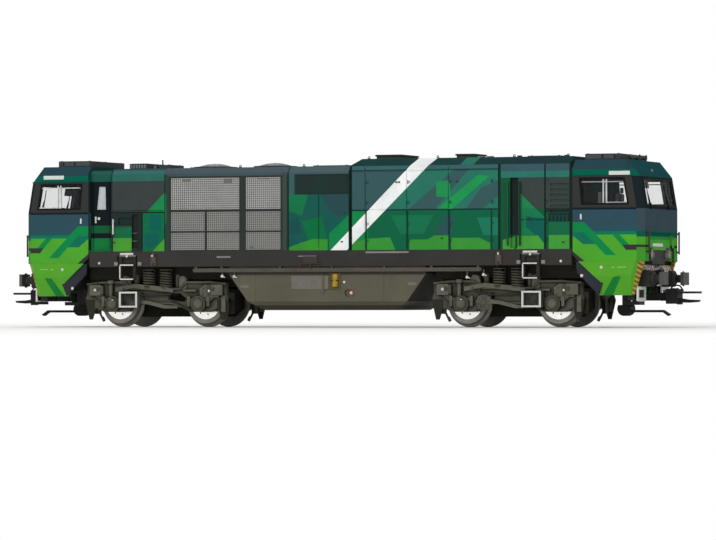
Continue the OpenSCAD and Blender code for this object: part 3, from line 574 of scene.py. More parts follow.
    cab: Finish = Livery(
        "cab_paint", NAVY, "#20343c", 0.36, gloss=0, cloud=12, cloudiness=0.22, rounding=0.15, both_ends=True,
        patches=(
            strip("#2b474f", *CAB_SPAN, 44.1, 60),
            strip("#0a6350", *CAB_SPAN, 42.2, 44.1),
            strip("#3a3936", *CAB_SPAN, 33.3, 42.2),
            strip("#16202a", *CAB_SPAN, 32.9, 33.3),
            strip("#2a565f", *CAB_SPAN, 26.8, 28.0), strip("#167a58", *CAB_SPAN, 25.9, 26.8),
            strip(LIME, *CAB_SPAN, 10, 25.9),
            Patch(GREEN, ((74, 29.4), (77.4, 29.4), (80.3, 26.6), (74, 26.6))),
            Patch(TEAL, ((74, 26.6), (78, 26.6), (81.0, 23.3), (77.4, 23.3), (74, 26.0))),
            Patch(GREEN, ((74.9, 29.4), (77.7, 29.4), (87, 20.2), (84, 20.2))),
            Patch(GREEN, ((86.0, 25.9), (88.0, 25.9), (91.0, 22.9), (88.8, 22.9))),
            Patch("#3b3832", ((88.7, 23.1), (99, 23.1), (99, 21.6), (89.9, 21.6))),
            Patch(SILL, ((73, 22.4), (73, 17), (79.8, 17))),
            strip("#20282b", 73, 74.35, 17, 48),
            end_strip("#215052", 20, 42.2, 60), end_strip("#22292c", 20, 33.2, 42.2),
            end_strip("#41535b", 20, 26.8, 33.2),
            end_strip("#15604f", 20, 25.3, 26.9), end_strip("#35943f", 12, 24.6, 25.5),
            end_strip("#47a034", 20, 16, 22.4), end_strip("#4fae41", 12, 22.4, 24.6),
            # The brighter lime strip across the top of the lamp panel is painted light that offsets the shade
            # of the recess.
            end_strip("#2e2b29", 12, 16, 22.4), end_strip("#66ad45", 6.6, 21.3, 22.5),
        ),
    )
    apron: Finish = EdgeStripes(
        "apron_paint", "#58a62f", "#3b7a24", 0.38, cloud=9, cloudiness=0.3, rounding=0.12, both_ends=True,
        patches=(
            strip("#2c6420", *CAB_SPAN, 18.5, 18.8),
            Patch("#107a35", ((86.2, 14.2), (88.4, 14.2), (85.6, 9), (82.7, 9))),
            strip("#8fcf6a", 85.6, 86.6, 16.7, 16.95), strip("#8fcf6a", 87.4, 89.9, 16.7, 16.95),
        ),
        edge=((93.3, 19), (96.5, 19), (93.0, 8.5), (90.9, 8.5)),
    )
    # Painted shade: the recessed entry carries darker copies of the navy and greens, the livery as it looks
    # in shade.
    entry: Finish = Livery(
        "entry_shaded_paint", "#10191d", "#0a1114", 0.42, cloudiness=0.25, rounding=0.12,
        patches=(
            strip("#115f38", -74, -67.3, 27.4, 29.6), strip("#15793a", -74, -67.3, 21.9, 25.9),
            strip("#1f5a50", -74, -67.3, 42.4, 45.6),
        ),
    )
    equipment: Finish = Livery(
        "equipment_paint", "#22302f", "#16211f", 0.4, cloudiness=0.25, rounding=0.12,
        ribs=(-66.3, -50.4, 33.6, 42.2),
        patches=(
            strip("#25434c", -67, -50, 45.6, 50), strip("#2e6a60", -66.6, -50, 42.4, 45.6),
            strip("#3c4342", -66.6, -50, 33.5, 42.4),
            Patch("#1a8a50", ((-50.1, 39), (-55.6, 33.5), (-50.1, 33.5))),
            strip("#146b45", -66.1, -59.9, 25.9, 29.4), strip("#4c9d38", -66.4, -59.9, 21.9, 25.9),
            strip("#24543a", -66.1, -59.9, 28.9, 29.4),
            strip("#0c6e46", -56.9, -50.1, 21.9, 33.2),
            Patch("#0d6157", ((-54.7, 32.4), (-51.2, 32.4), (-51.2, 28.1), (-54.7, 28.1))),
            Patch("#0d6157", ((-56.3, 27.2), (-51.3, 27.2), (-52.1, 24.4), (-54.3, 22.9), (-56.3, 24.1))),
            Patch("#4c9d38", ((-50.1, 25.6), (-53.9, 22), (-50.1, 22))),
            # The dark strip from -60.5 to -57.6 is painted shade in the upright niche.
            strip("#16211f", -66.9, -50.1, 33.1, 33.5), strip("#222b28", -60.5, -57.6, 21.9, 33.1),
        ),
    )
    cooling: Finish = Livery(
        "cooling_paint", "#313534", "#212625", 0.42, cloudiness=0.3, rounding=0.12,
        patches=(
            strip("#46545a", -50, -11.6, 43.6, 46.4), strip("#2b4339", -50.1, -48.7, 22, 44),
            strip("#2c6a49", -50.1, -49.5, 30, 38.5), strip("#3b4e46", -13.1, -11.8, 22, 44.2),
        ),
    )
    middle: Finish = Livery(
        "middle_paint", "#185950", "#0f4234", 0.4, cloudiness=0.3, rounding=0.12,
        patches=(
            strip("#475a60", -11.5, 8, 43.7, 46.4), strip("#3d5f60", -11.1, -9.3, 38, 43.7),
            strip("#232e2e", -9.3, 7.7, 38, 43.7),
            Patch("#17774b", ((-11.1, 38), (-5.2, 38), (-7.1, 31.9), (-11.1, 33.3))),
            Patch("#2b4a50", ((-1.4, 38), (7.7, 38), (7.7, 33.6), (4.6, 31.2), (1.2, 33.4))),
            Patch("#09703f", ((-7.2, 30.4), (-0.9, 31.6), (0.6, 25.1), (-5.2, 25.1))),
            Patch("#1a4f4e", ((-11.1, 30.4), (-8.4, 31.4), (-7.0, 27), (-11.1, 26.4))),
            Patch(
                "#3a9532", ((-11.1, 22), (-11.1, 22.9), (-7.8, 24.1), (-3.6, 25.3), (0.8, 25.1), (0.8, 22))
            ),
            Patch("#138747", ((1.3, 22), (1.3, 26.8), (7.7, 32.4), (7.7, 22))),
            Patch("#3a9532", ((3, 22), (7.7, 26), (7.7, 22))),
            BAND,
            strip("#12201d", -11.6, -11.2, 21, 46), strip("#0d1715", 7.2, 8, 21, 46.2),
        ),
    )
    engine: Finish = Livery(
        "engine_paint", "#2b7563", "#1d5448", 0.4, cloudiness=0.3, rounding=0.12,
        patches=(
            Patch(SLATE, ((7.7, 44.8), (30, 44.8), (17, 33.4), (7.7, 33.4))),
            Patch("#3a575c", ((39.6, 44.8), (43.8, 44.8), (33.4, 33.4), (25.2, 33.4))),
            Patch("#22934f", ((33.8, 41.2), (38, 41.6), (38, 36.9), (33.8, 36.9))),
            Patch("#1f9a50", ((46.4, 43), (49.7, 42.6), (38.4, 33.4), (33.9, 33.4))),
            Patch("#3a575c", ((47.2, 39.2), (52.8, 41.6), (52.8, 37.4), (47.6, 33.4), (42.5, 33.4))),
            strip("#0b6240", 7.7, 52.8, 21, 33.2),
            Patch("#128747", ((7.7, 21), (13, 21), (13, 33), (7.7, 33))),
            Patch("#15734b", ((20, 31.8), (33, 31.8), (30, 26.5), (23, 26.5))),
            Patch("#2c5053", ((36.4, 31.6), (39.6, 31.6), (38.4, 26.2), (33.2, 26.2))),
            Patch("#1a7a5a", ((46, 31), (52.8, 31), (52.8, 26), (48, 26))),
            Patch("#3c9633", ((7.7, 21), (7.7, 24), (13, 25.2), (19.8, 25.6), (22, 21))),
            strip("#3c9633", 25.7, 37.6, 21, 24.9),
            Patch("#3c9633", ((31, 24.8), (33.3, 26), (37.6, 26), (37.6, 24.8))),
            Patch("#3c9633", ((38.3, 21), (38.3, 25.3), (46.7, 25.3), (50, 23.8), (50, 21))),
            strip("#12352f", 7.7, 52.8, 33.15, 33.45), strip("#12352f", 7.7, 52.8, 44.6, 44.8),
            strip("#3d6268", 7.7, 52.8, 44.8, 45.9), strip("#0a2b2e", 7.7, 52.8, 45.9, 50),
            Patch("#24705f", ((41, 45.9), (45, 45.9), (48, 50), (44, 50))),
            BAND,
            strip("#0d1715", 7.3, 8.3, 21, 46.2), strip("#0d1715", 52.3, 53, 21, 46),
            *(strip("#12302a", x, x + 0.5, 21.6, 33.3) for x in (12.3, 24.9, 37.5, 50.1)),
        ),
    )
    auxiliary: Finish = Livery(
        "auxiliary_paint", "#165537", "#123f31", 0.4, cloudiness=0.3, rounding=0.12,
        ribs=(58.8, 73.4, 33.6, 41.9),
        patches=(
            strip("#3b5963", 53.2, 74, 43.9, 45.9), strip("#30776a", 53.2, 74, 42.1, 43.9),
            strip("#122b33", 52.8, 74, 45.9, 50),
            strip("#3c4342", 58.6, 74, 33.4, 42.1),
            Patch("#208a52", ((58.6, 38), (63.3, 33.4), (58.6, 33.4))),
            Patch("#177f4e", ((58.6, 33.4), (63.3, 33.4), (66, 31.1), (66, 26), (58.6, 26))),
            Patch("#0e5e55", ((60.6, 31.2), (66, 30.6), (66, 24), (63.4, 26), (60.6, 28))),
            strip("#1b2627", 67.3, 73.5, 29.6, 32.1), strip("#176b45", 67.3, 73.5, 25.9, 29.6),
            strip("#1e2b2a", 66.2, 73.8, 32.3, 33.5),
            Patch("#47a03a", ((53.7, 21), (53.7, 24.6), (57.1, 25.6), (57.1, 21))),
            Patch("#47a03a", ((57.8, 21), (57.8, 25.8), (64.2, 25.8), (65.9, 23.6), (65.9, 21))),
            strip("#47a03a", 67.3, 73.5, 21, 25.9),
            # The dark strip from 55.9 to 58.3 is painted shade in the niche beside the door.
            strip("#1b2221", 55.9, 58.3, 26, 42.1), strip("#15211f", 66.05, 66.5, 21, 46),
            strip("#12201d", 73.4, 74.1, 21, 46.5),
        ),
    )


PAINT = Paintshop()


# ---------------------------------------------------------------- mesh building


def placed(pair: Pair, depth: float, axis: Axis) -> Vector:
    """Puts two values across an axis and one along it in the axes' order."""
    place = [*pair]
    place.insert(axis.value, depth)
    return Vector(place)


class Workpiece:
    """A mesh that grows by simple closed forms, in millimetres, and ends as one piece."""

    def __init__(self, name: str) -> None:
        """Starts an empty mesh.

        Args:
            name: Name of the finished piece.
        """
        self.name = name
        self.mesh = bmesh.new()

    def skin(self, loops: Sequence[Sequence[Vector]], closed: bool) -> None:
        """Adds loops of corners and the faces that join each loop to the next.

        Args:
            loops: Loops with the same number of corners.
            closed: Joins the last loop to the first; if not, both get an end face.
        """
        rows = [[self.mesh.verts.new(corner) for corner in loop] for loop in loops]
        pairs = list(zip(rows, rows[1:]))
        if closed:
            pairs.append((rows[-1], rows[0]))
        for a, b in pairs:
            for i in range(len(a)):
                j = (i + 1) % len(a)
                self.mesh.faces.new((a[i], a[j], b[j], b[i]))
        if not closed:
            self.mesh.faces.new(rows[0][::-1])
            self.mesh.faces.new(rows[-1])

    def block(self, low: Point, high: Point) -> None:
        """Adds an upright block between two corners."""
        (x0, y0, z0), (x1, y1, z1) = low, high
        self.prism(rectangle(x0, x1, z0, z1), Axis.Y, min(y0, y1), max(y0, y1))

    def prism(self, outline: Sequence[Pair], axis: Axis, start: float, stop: float) -> None:
        """Adds an outline drawn out along an axis.

        Args:
            outline: Corners in the plane across the axis, in the order of the other two axes.
            axis: Axis that the outline is drawn out along.
            start: Place of the first face.
            stop: Place of the second face.
        """
        self.skin([[placed(corner, depth, axis) for corner in outline] for depth in (start, stop)], False)

    def ring(
        self, outer: Sequence[Pair], inner: Sequence[Pair], axis: Axis, start: float, stop: float
    ) -> None:
        """Adds a flat frame between two outlines with the same number of corners.

        Args:
            outer: Outer corners, in the order of the other two axes.
            inner: Inner corners.
            axis: Axis that the frame is thick along.
            start: Place of its back.
            stop: Place of its front.
        """
        rows = ((outer, start), (outer, stop), (inner, stop), (inner, start))
        self.skin([[placed(corner, depth, axis) for corner in outline] for outline, depth in rows], True)

    def turned(self, centre: Point, axis: Axis, profile: Sequence[Pair], sides: int = 24) -> None:
        """Adds a turned form.

        Args:
            centre: A point on the axis that the profile's places are measured from.
            axis: Axis of turning.
            profile: Closed loop of (radius, place along the axis); radii above nought.
            sides: Faces round the form.
        """
        loops = []
        for k in range(sides):
            x, y = math.cos(2 * math.pi * k / sides), math.sin(2 * math.pi * k / sides)
            loops.append([Vector(centre) + placed((r * x, r * y), along, axis) for r, along in profile])
        self.skin(loops, True)

    def hoop(self, centre: Point, axis: Axis, radius: float, wire: float, sides: int = 32) -> None:
        """Adds a round wire hoop that lies across an axis."""
        turns = [2 * math.pi * k / 6 for k in range(6)]
        profile = [(radius + wire * math.cos(turn), wire * math.sin(turn)) for turn in turns]
        self.turned(centre, axis, profile, sides)

    def rod(self, a: Point, b: Point, radius: float, sides: int = 14) -> None:
        """Adds a round rod between two points, with chamfered ends.

        Args:
            a: First end.
            b: Second end.
            radius: Its radius.
            sides: Faces round the rod.
        """
        start, stop = Vector(a), Vector(b)
        way = (stop - start).normalized()
        turn = way.to_track_quat("Z", "Y").to_matrix()
        cut = min(CHAMFER * radius, 0.2 * (stop - start).length)
        slim = radius - cut
        angles = [2 * math.pi * k / sides for k in range(sides)]
        loops = []
        for spot, r in ((start, slim), (start + way * cut, radius), (stop - way * cut, radius), (stop, slim)):
            loops.append([spot + turn @ Vector((r * math.cos(q), r * math.sin(q), 0)) for q in angles])
        self.skin(loops, False)

    def tube(self, points: Sequence[Point], radius: float, sides: int = 10, smooth: int = 0) -> None:
        """Adds a wire or pipe along points.

        Args:
            points: Points that it passes.
            radius: Its radius.
            sides: Faces round it.
            smooth: Points added between each two, on a smooth curve.
        """
        path = [Vector(p) for p in points]
        if smooth:
            path = self.curve(path, smooth)
        angles = [2 * math.pi * k / sides for k in range(sides)]
        loops, up = [], Vector((0.13, 0.21, 0.97))
        for i, spot in enumerate(path):
            way = (path[min(i + 1, len(path) - 1)] - path[max(i - 1, 0)]).normalized()
            across = up.cross(way).normalized()
            up = way.cross(across).normalized()
            loops.append([spot + (across * math.cos(q) + up * math.sin(q)) * radius for q in angles])
        self.skin(loops, False)

    @staticmethod
    def curve(path: Sequence[Vector], steps: int) -> list[Vector]:
        """Draws a smooth curve through points.

        Args:
            path: Points that it passes.
            steps: Points added between each two.

        Returns:
            All the points.
        """
        ends = [path[0], *path, path[-1]]
        line = []
        for a, b, c, d in zip(ends, ends[1:], ends[2:], ends[3:]):
            for k in range(steps + 1):
                t = k / (steps + 1)
                bend, twist = 2 * a - 5 * b + 4 * c - d, 3 * b - a - 3 * c + d
                line.append(0.5 * (2 * b + (c - a) * t + bend * t**2 + twist * t**3))
        return [*line, path[-1]]

    def spring(self, centre: Point, radius: float, wire: float, height: float, turns: int) -> None:
        """Adds an upright coil spring that stands on its centre point.

        Args:
            centre: Middle of its lower end.
            radius: Radius of the wire's middle line.
            wire: Radius of the wire.
            height: Height of the spring.
            turns: Turns of the wire.
        """
        x, y, z = centre
        count = turns * 16
        points = []
        for i in range(count + 1):
            angle = 2 * math.pi * i / 16
            rise = wire + (height - 2 * wire) * i / count
            points.append((x + radius * math.cos(angle), y + radius * math.sin(angle), z + rise))
        self.tube(points, wire, 8)

    def bolt(self, place: Point, axis: Axis, size: float, out: float) -> None:
        """Adds a six-sided bolt head that stands out along an axis, with its washer.

        Args:
            place: Middle of its seat.
            axis: Axis that it stands along.
            size: Distance across the head.
            out: Height of the head, negative for the other way.
        """
        seat = Vector(place)
        top = seat + placed((0.0, 0.0), out, axis)
        washer = tuple(seat.lerp(top, 0.3))
        self.rod(tuple(seat), washer, size * 0.62, 14)
        self.rod(washer, tuple(top), size / 2, 6)

    def leant(self, foot: float, slope: float) -> "Workpiece":
        """Leans the whole mesh back along X by slope for each millimetre above foot."""
        for vert in self.mesh.verts:
            vert.co.x -= (vert.co.z - foot) * slope
        return self

    def mirrored(self) -> "Workpiece":
        """Adds the mirror image on the other side of the model."""
        parts = self.mesh.verts[:] + self.mesh.edges[:] + self.mesh.faces[:]
        made = bmesh.ops.duplicate(self.mesh, geom=parts)
        for vert in (v for v in made["geom"] if isinstance(v, bmesh.types.BMVert)):
            vert.co.y = -vert.co.y
        return self

    def shifted(self, along: float) -> "Workpiece":
        """Moves the whole mesh along the model."""
        bmesh.ops.translate(self.mesh, vec=(along, 0, 0), verts=self.mesh.verts[:])
        return self

    def faced(self, end: int) -> "Workpiece":
        """Leaves a piece drawn for end 1 as it is and turns it half round for end 2."""
        if end == 2:
            for vert in self.mesh.verts:
                vert.co.x, vert.co.y = -vert.co.x, -vert.co.y
        return self

    def finished(
        self, body: Body, slot: str, finish: Finish, bevel: float = 0.0, replaces: Iterable[str] = ()
    ) -> None:
        """Turns the mesh into a piece, dresses it and puts it on its body.

        Args:
            body: Body that it rides on.
            slot: Material slot of the record; not used.
            finish: Its finish.
            bevel: Width of its bevelled edges.
            replaces: Construction nodes that it stands for.
        """
        bmesh.ops.recalc_face_normals(self.mesh, faces=self.mesh.faces[:])
        data = bpy.data.meshes.new(self.name)
        bmesh.ops.scale(self.mesh, vec=(MM, MM, MM), verts=self.mesh.verts[:])
        self.mesh.to_mesh(data)
        self.mesh.free()
        data.shade_smooth()
        data.set_sharp_from_angle(angle=SHARP_ANGLE)
        piece = bpy.data.objects.new(self.name, data)
        bpy.context.scene.collection.objects.link(piece)
        data.materials.append(finish.material())
        if bevel:
            rounder = piece.modifiers.new("rounded_edges", "BEVEL")
            rounder.width = bevel * MM
            rounder.segments = 2
            rounder.limit_method = "ANGLE"
            rounder.angle_limit = BEVEL_ANGLE
            rounder.harden_normals = False
        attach(piece, body.value)
        nodes = list(replaces)
        if nodes:
            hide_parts(*nodes)
        LOG.info("%s: %d faces, on %s", self.name, len(data.polygons), body.value)

    def paired(self, slot: str, finish: Finish, bevel: float = 0.0) -> None:
        """Puts the piece and its mirror image on the locomotive's body, as one piece."""
        self.mirrored().finished(Body.SHELL, slot, finish, bevel)


def dress(finish: Finish, *nodes: str) -> None:
    """Gives construction nodes a finish.

    Args:
        finish: Their finish.
        nodes: Names of the nodes.
    """
    for name in nodes:
        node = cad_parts[name]
        node.data.materials.clear()
        node.data.materials.append(finish.material())
        LOG.info("%s: finish %s", name, finish.name)


def grown(outline: Outline, by: float) -> Outline:
    """Moves every edge of a convex outline outwards.

    Args:
        outline: Corners in order.
        by: Distance in millimetres, negative for inwards.

    Returns:
        The new corners.
    """
    side = turning(outline)
    corners = []
    for i, spot in enumerate(outline):
        before = (Vector(spot) - Vector(outline[i - 1])).normalized()
        after = (Vector(outline[(i + 1) % len(outline)]) - Vector(spot)).normalized()
        out_a, out_b = Vector((before.y, -before.x)) * side, Vector((after.y, -after.x)) * side
        move = (out_a + out_b) * by / (1 + out_a.dot(out_b))
        corners.append((spot[0] + move.x, spot[1] + move.y))
    return tuple(corners)


# ---------------------------------------------------------------- sizes taken from the frame


@dataclass(frozen=True)
class Box:
    """The box round some construction nodes, in millimetres.

    Attributes:
        low: Lowest corner.
        high: Highest corner.
    """

    low: Point
    high: Point

    @classmethod
    def of(cls, *nodes: str) -> "Box":
        """Measures the nodes at rest."""
        corners = [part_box(node) for node in nodes]
        low = [min(corner[0][i] for corner in corners) / MM for i in range(3)]
        high = [max(corner[1][i] for corner in corners) / MM for i in range(3)]
        return cls((low[0], low[1], low[2]), (high[0], high[1], high[2]))


@dataclass(frozen=True)
class Hull:
    """The main planes of the locomotive that the fittings are placed from.

    Attributes:
        side: Body side from the middle.
        front: Front of cab 1 from the middle.
        cab: Rear wall of cab 1 from the middle.
        sill: Underside of the sills.
        low_roof: Roof of the low hoods.
        tall_roof: Roof of the tall hoods.
        cab_roof: Roof of the cabs.
        cooling: Start of the cooling hood.
        middle: Start of the middle hood.
        engine: Start of the engine hood.
        auxiliary: Start of the auxiliary hood.
        tank_side: Side of the fuel tank from the middle.
        pivot: Bogie pivot from the middle.
        bogie_side: Outer face of a bogie's side frame from the middle.
    """

    side: float = Box.of("middle_hood").high[1]
    front: float = Box.of("cab_1").high[0]
    cab: float = Box.of("cab_1").low[0]
    sill: float = Box.of("engine_hood").low[2] - 4.5
    low_roof: float = Box.of("cooling_hood").high[2]
    tall_roof: float = Box.of("engine_hood").high[2]
    cab_roof: float = Box.of("cab_1").high[2]
    cooling: float = Box.of("cooling_hood").low[0]
    middle: float = Box.of("middle_hood").low[0]
    engine: float = Box.of("engine_hood").low[0]
    auxiliary: float = Box.of("auxiliary_hood").low[0]
    tank_side: float = Box.of("fuel_tank").high[1]
    pivot: float = (Box.of("bogie_1_frame").low[0] + Box.of("bogie_1_frame").high[0]) / 2
    bogie_side: float = Box.of("bogie_1_frame").high[1] - 0.5


HULL = Hull()


# ---------------------------------------------------------------- cabs


@dataclass(frozen=True)
class Cab:
    """One driver's cab: its glass, gaskets, wipers, lamps, plates and hoses.

    Attributes:
        end: One or two; end two is turned half round.
        window: Outline of the side window.
        screen: Outline of the windscreen across the cab, before it leans.
        screen_foot: Height where the front starts to lean back.
        lean: How far the windscreen leans back for each millimetre of height.
        cap_foot: Height where the roof cap starts.
        cap_lean: How far the roof cap leans back for each millimetre of height.
        gasket: Width of the rubber round the glass.
        lamp: Place of a headlamp, as (from the middle, height).
        lamp_radius: Radius of a headlamp.
        top_lamp: Height of the lamp in the roof cap.
        recess: Depth of the panel that carries the lamps.
        lip: How far the rubber reaches over the glass.
        bars: Places of the sliding pane's upright bars along the cab.
        wipers_at: Places of the wipers across the windscreen.
        screens_at: Places of the desk's screens across the cab.
        seats_at: Places of the seats across the cab.
        hose_route: An air hose as (out from the beam, across, height).
        hoses_at: Places of the air hoses on one side.
    """

    end: int
    window: Outline = ((77.2, 34.6), (90.4, 34.6), (89.2, 41.5), (76.6, 41.5))
    screen: Outline = rectangle(-12.9, 12.9, 34.3, 41.4)
    screen_foot: float = 33.4
    lean: float = 0.1673
    cap_foot: float = 42.4
    cap_lean: float = 0.81
    gasket: float = 0.4
    lamp: tuple[float, float] = (8.4, 20.6)
    lamp_radius: float = 1.2
    top_lamp: float = 43.9
    recess: float = 0.7
    lip: float = 0.12
    bars: Pair = (83.1, 84.0)
    wipers_at: Pair = (-11.6, 5.2)
    screens_at: tuple[float, ...] = (-9.5, -6.2, 4.5, 8.5)
    seats_at: Pair = (-8.0, 8.0)
    hose_route: tuple[Point, ...] = (
        (0.8, 0.0, 16.6), (2.6, 0.0, 17.3), (3.6, 0.6, 15.2), (2.6, 1.3, 12.4), (1.0, 0.6, 11.8),
    )
    hoses_at: tuple[float, ...] = (5.2, 7.2, 9.6, 11.4)

    def piece(self, name: str) -> Workpiece:
        """Starts a piece of this cab."""
        return Workpiece(f"cab_{self.end}_{name}")

    def place(self, work: Workpiece, slot: str, finish: Finish, bevel: float = 0.0) -> None:
        """Turns a piece to its end and puts it on the locomotive's body."""
        work.faced(self.end).finished(Body.SHELL, slot, finish, bevel)

    def dress(self) -> None:
        """Gives the cab's construction nodes their finishes."""
        dress(PAINT.cab, f"cab_{self.end}")
        dress(PAINT.glass, f"cab_{self.end}_glazing")
        dress(PAINT.interior, f"cab_{self.end}_interior")
        dress(PAINT.roof, f"cab_{self.end}_air_conditioner")
        dress(PAINT.apron, f"apron_{self.end}")
        dress(PAINT.lens, f"headlights_{self.end}")
        dress(PAINT.buffer, f"buffers_{self.end}")

    def gaskets(self) -> None:
        """Builds the rubber round the side windows and the windscreen."""
        work = self.piece("side_gaskets")
        outer, inner = grown(self.window, self.gasket), grown(self.window, -self.lip)
        work.ring(outer, inner, Axis.Y, HULL.side - 0.3, HULL.side + 0.1)
        self.place(work.mirrored(), "buffer_black", PAINT.rubber, 0.06)
        work = self.piece("windscreen_gasket")
        outer, inner = grown(self.screen, self.gasket), grown(self.screen, -self.lip)
        work.ring(outer, inner, Axis.X, HULL.front - 0.3, HULL.front + 0.12)
        self.place(work.leant(self.screen_foot, self.lean), "buffer_black", PAINT.rubber, 0.06)

    def window_bars(self) -> None:
        """Builds the sliding pane's frame in each side window."""
        work = self.piece("window_bars")
        back, front = HULL.side - 0.62, HULL.side - 0.1
        foot, head = self.window[0][1], self.window[2][1]
        for x in self.bars:
            work.block((x, back, foot), (x + 0.35, front, head))
        work.block((77, back, head - 1.0), (89.6, front, head - 0.72))
        work.block((84.2, back, foot), (90.2, front, foot + 0.45))
        self.place(work.mirrored(), "step_white", PAINT.window_bar, 0.05)

    def wipers(self) -> None:
        """Builds the two windscreen wipers and the sun visor behind the glass."""
        work = self.piece("wipers")
        face = HULL.front + 0.25
        for y in self.wipers_at:
            work.rod((face, y + 1.6, 33.6), (face, y + 0.1, 37.4), 0.13, 8)
            work.rod((face, y + 0.9, 33.6), (face, y - 0.2, 37.1), 0.09, 8)
            work.block((face - 0.14, y - 0.16, 34.5), (face + 0.06, y + 0.08, 40.4))
            work.rod((face - 0.3, y + 1.3, 33.5), (face + 0.2, y + 1.3, 33.5), 0.42, 16)
        self.place(work.leant(self.screen_foot, self.lean), "buffer_black", PAINT.rubber, 0.03)
        work = self.piece("sun_visor")
        work.block((HULL.front - 1.4, -10.2, 39.0), (HULL.front - 1.1, -5.0, 41.2))
        work.rod((HULL.front - 1.3, -7.6, 41.0), (HULL.front - 1.3, -7.6, 41.8), 0.2, 10)
        self.place(work.leant(self.screen_foot, self.lean), "buffer_black", PAINT.black, 0.12)

    def desk(self) -> None:
        """Builds the driver's desk top with its screens and handles, and the seats' cushions."""
        work = self.piece("desk_top")
        room = Box.of("cab_1_interior")
        outline = ((87.4, 32.9), (90.0, 32.9), (90.2, 33.9), (88.0, 34.0))
        work.prism(outline, Axis.Y, room.low[1] + 0.6, room.high[1] - 0.6)
        for y in self.screens_at:
            work.block((88.6, y - 1.2, 33.4), (89.0, y + 1.2, 35.2))
            work.rod((88.2, y + 1.7, 33.6), (88.0, y + 1.7, 34.8), 0.14, 8)
        self.place(work, "interior_plastic", PAINT.desk, 0.08)
        work = self.piece("seat_cushions")
        for y in self.seats_at:
            work.block((79.3, y - 1.8, 30.5), (82.5, y + 1.8, 31.3))
            work.block((80.3, y - 1.6, 31.0), (80.9, y + 1.6, 37.8))
            work.block((80.3, y - 0.9, 38.0), (80.9, y + 0.9, 39.6))
        self.place(work, "interior_plastic", PAINT.desk, 0.25)

    def lamps(self) -> None:
        """Builds the housings, reflectors and red tail lamps of the front and the lamp in the roof cap."""
        across, height = self.lamp
        back, r = HULL.front - self.recess, self.lamp_radius
        housing, shine = self.piece("lamp_housings"), self.piece("lamp_reflectors")
        tail, glass = self.piece("tail_lamps"), self.piece("top_lamp_lens")
        rim = ((r, -0.1), (r + 0.35, -0.1), (r + 0.35, 0.35), (r + 0.12, 0.5), (r, 0.35))
        dish = ((0.1, -0.36), (r - 0.2, -0.12), (r - 0.12, -0.2), (0.1, -0.42))
        small_rim = ((0.6, -0.1), (0.9, -0.1), (0.86, 0.3), (0.6, 0.3))
        cap = ((0.05, 0.0), (0.5, 0.0), (0.48, 0.18), (0.3, 0.3), (0.05, 0.34))
        for side in (-1, 1):
            y = side * across
            large, small = (back, y, height), (back, y - side * 2.3, height - 0.3)
            housing.turned(large, Axis.X, rim)
            shine.turned(large, Axis.X, dish)
            housing.turned(small, Axis.X, small_rim, 20)
            tail.turned(small, Axis.X, cap, 20)
            housing.ring(
                rectangle(y - 1.9, y + 1.9, height - 1.85, height + 1.85),
                rectangle(y - 1.7, y + 1.7, height - 1.65, height + 1.65),
                Axis.X, back - 0.05, back + 0.25,
            )
        leant = (self.cap_foot - self.screen_foot) * self.lean
        centre = (HULL.front - leant - (self.top_lamp - self.cap_foot) * self.cap_lean, 0.0, self.top_lamp)
        shine.turned(centre, Axis.X, ((0.1, -0.3), (0.5, -0.05), (0.52, -0.2), (0.1, -0.4)), 20)
        glass.turned(centre, Axis.X, ((0.05, 0.1), (0.52, -0.5), (0.52, 0.12), (0.3, 0.24), (0.05, 0.28)), 24)
        self.place(housing, "roof_grey", PAINT.lamp_grey, 0.04)
        self.place(shine, "lamp_lens", PAINT.silver)
        self.place(tail, "lamp_lens", PAINT.red_lens)
        self.place(glass, "lamp_lens", PAINT.lens)

    def plates(self) -> None:
        """Builds the blank plates and marks, and the dark panel between the lamps."""
        work = self.piece("blank_plates")
        face, back = HULL.side, HULL.front - self.recess
        number = (85.0, 91.1, 42.5, 43.6) if self.end == 1 else (82.2, 88.7, 43.2, 44.3)
        work.prism(rectangle(*number), Axis.Y, face - 0.1, face + 0.07)
        work.block((76.5, face - 0.1, 30.2), (77.0, face + 0.08, 31.7))
        work.mirrored()
        work.block((back - 0.1, -6.2, 22.7), (back + 0.14, 3.2, 23.6))
        self.place(work, "step_white", PAINT.plate, 0.04)
        work = self.piece("front_panel")
        work.prism(((-5.9, 17.7), (5.9, 17.7), (7.1, 21.8), (-7.1, 21.8)), Axis.X, back - 0.5, back - 0.15)
        self.place(work, "frame_grey", PAINT.black, 0.05)

    def hardware(self) -> None:
        """Builds the roof gutters, the brace plates behind the aprons and their bolts."""
        side = HULL.side
        work = self.piece("gutters")
        foot = self.cap_foot
        work.block((HULL.cab + 0.5, side - 0.1, foot - 0.15), (92.4, side + 0.14, foot + 0.07))
        self.place(work.mirrored(), "cab_paint", PAINT.trim, 0.04)
        work = self.piece("brace_plates")
        outline = ((75.0, 18.4), (78.2, 18.4), (83.1, 12.5), (81.6, 9.1), (75.4, 15.4))
        work.prism(outline, Axis.Y, side - 1.3, side - 0.55)
        self.place(work.mirrored(), "frame_grey", PAINT.brace, 0.1)
        work = self.piece("bolts")
        x, z = (76.8, 14.5) if self.end == 1 else (79.7, 11.3)
        work.bolt((x, side - 0.6, z), Axis.Y, 0.75, 0.3)
        work.bolt((82.7, side - 0.06, 16.8), Axis.Y, 0.75, 0.3)
        self.place(work.mirrored(), "step_white", PAINT.bolt)

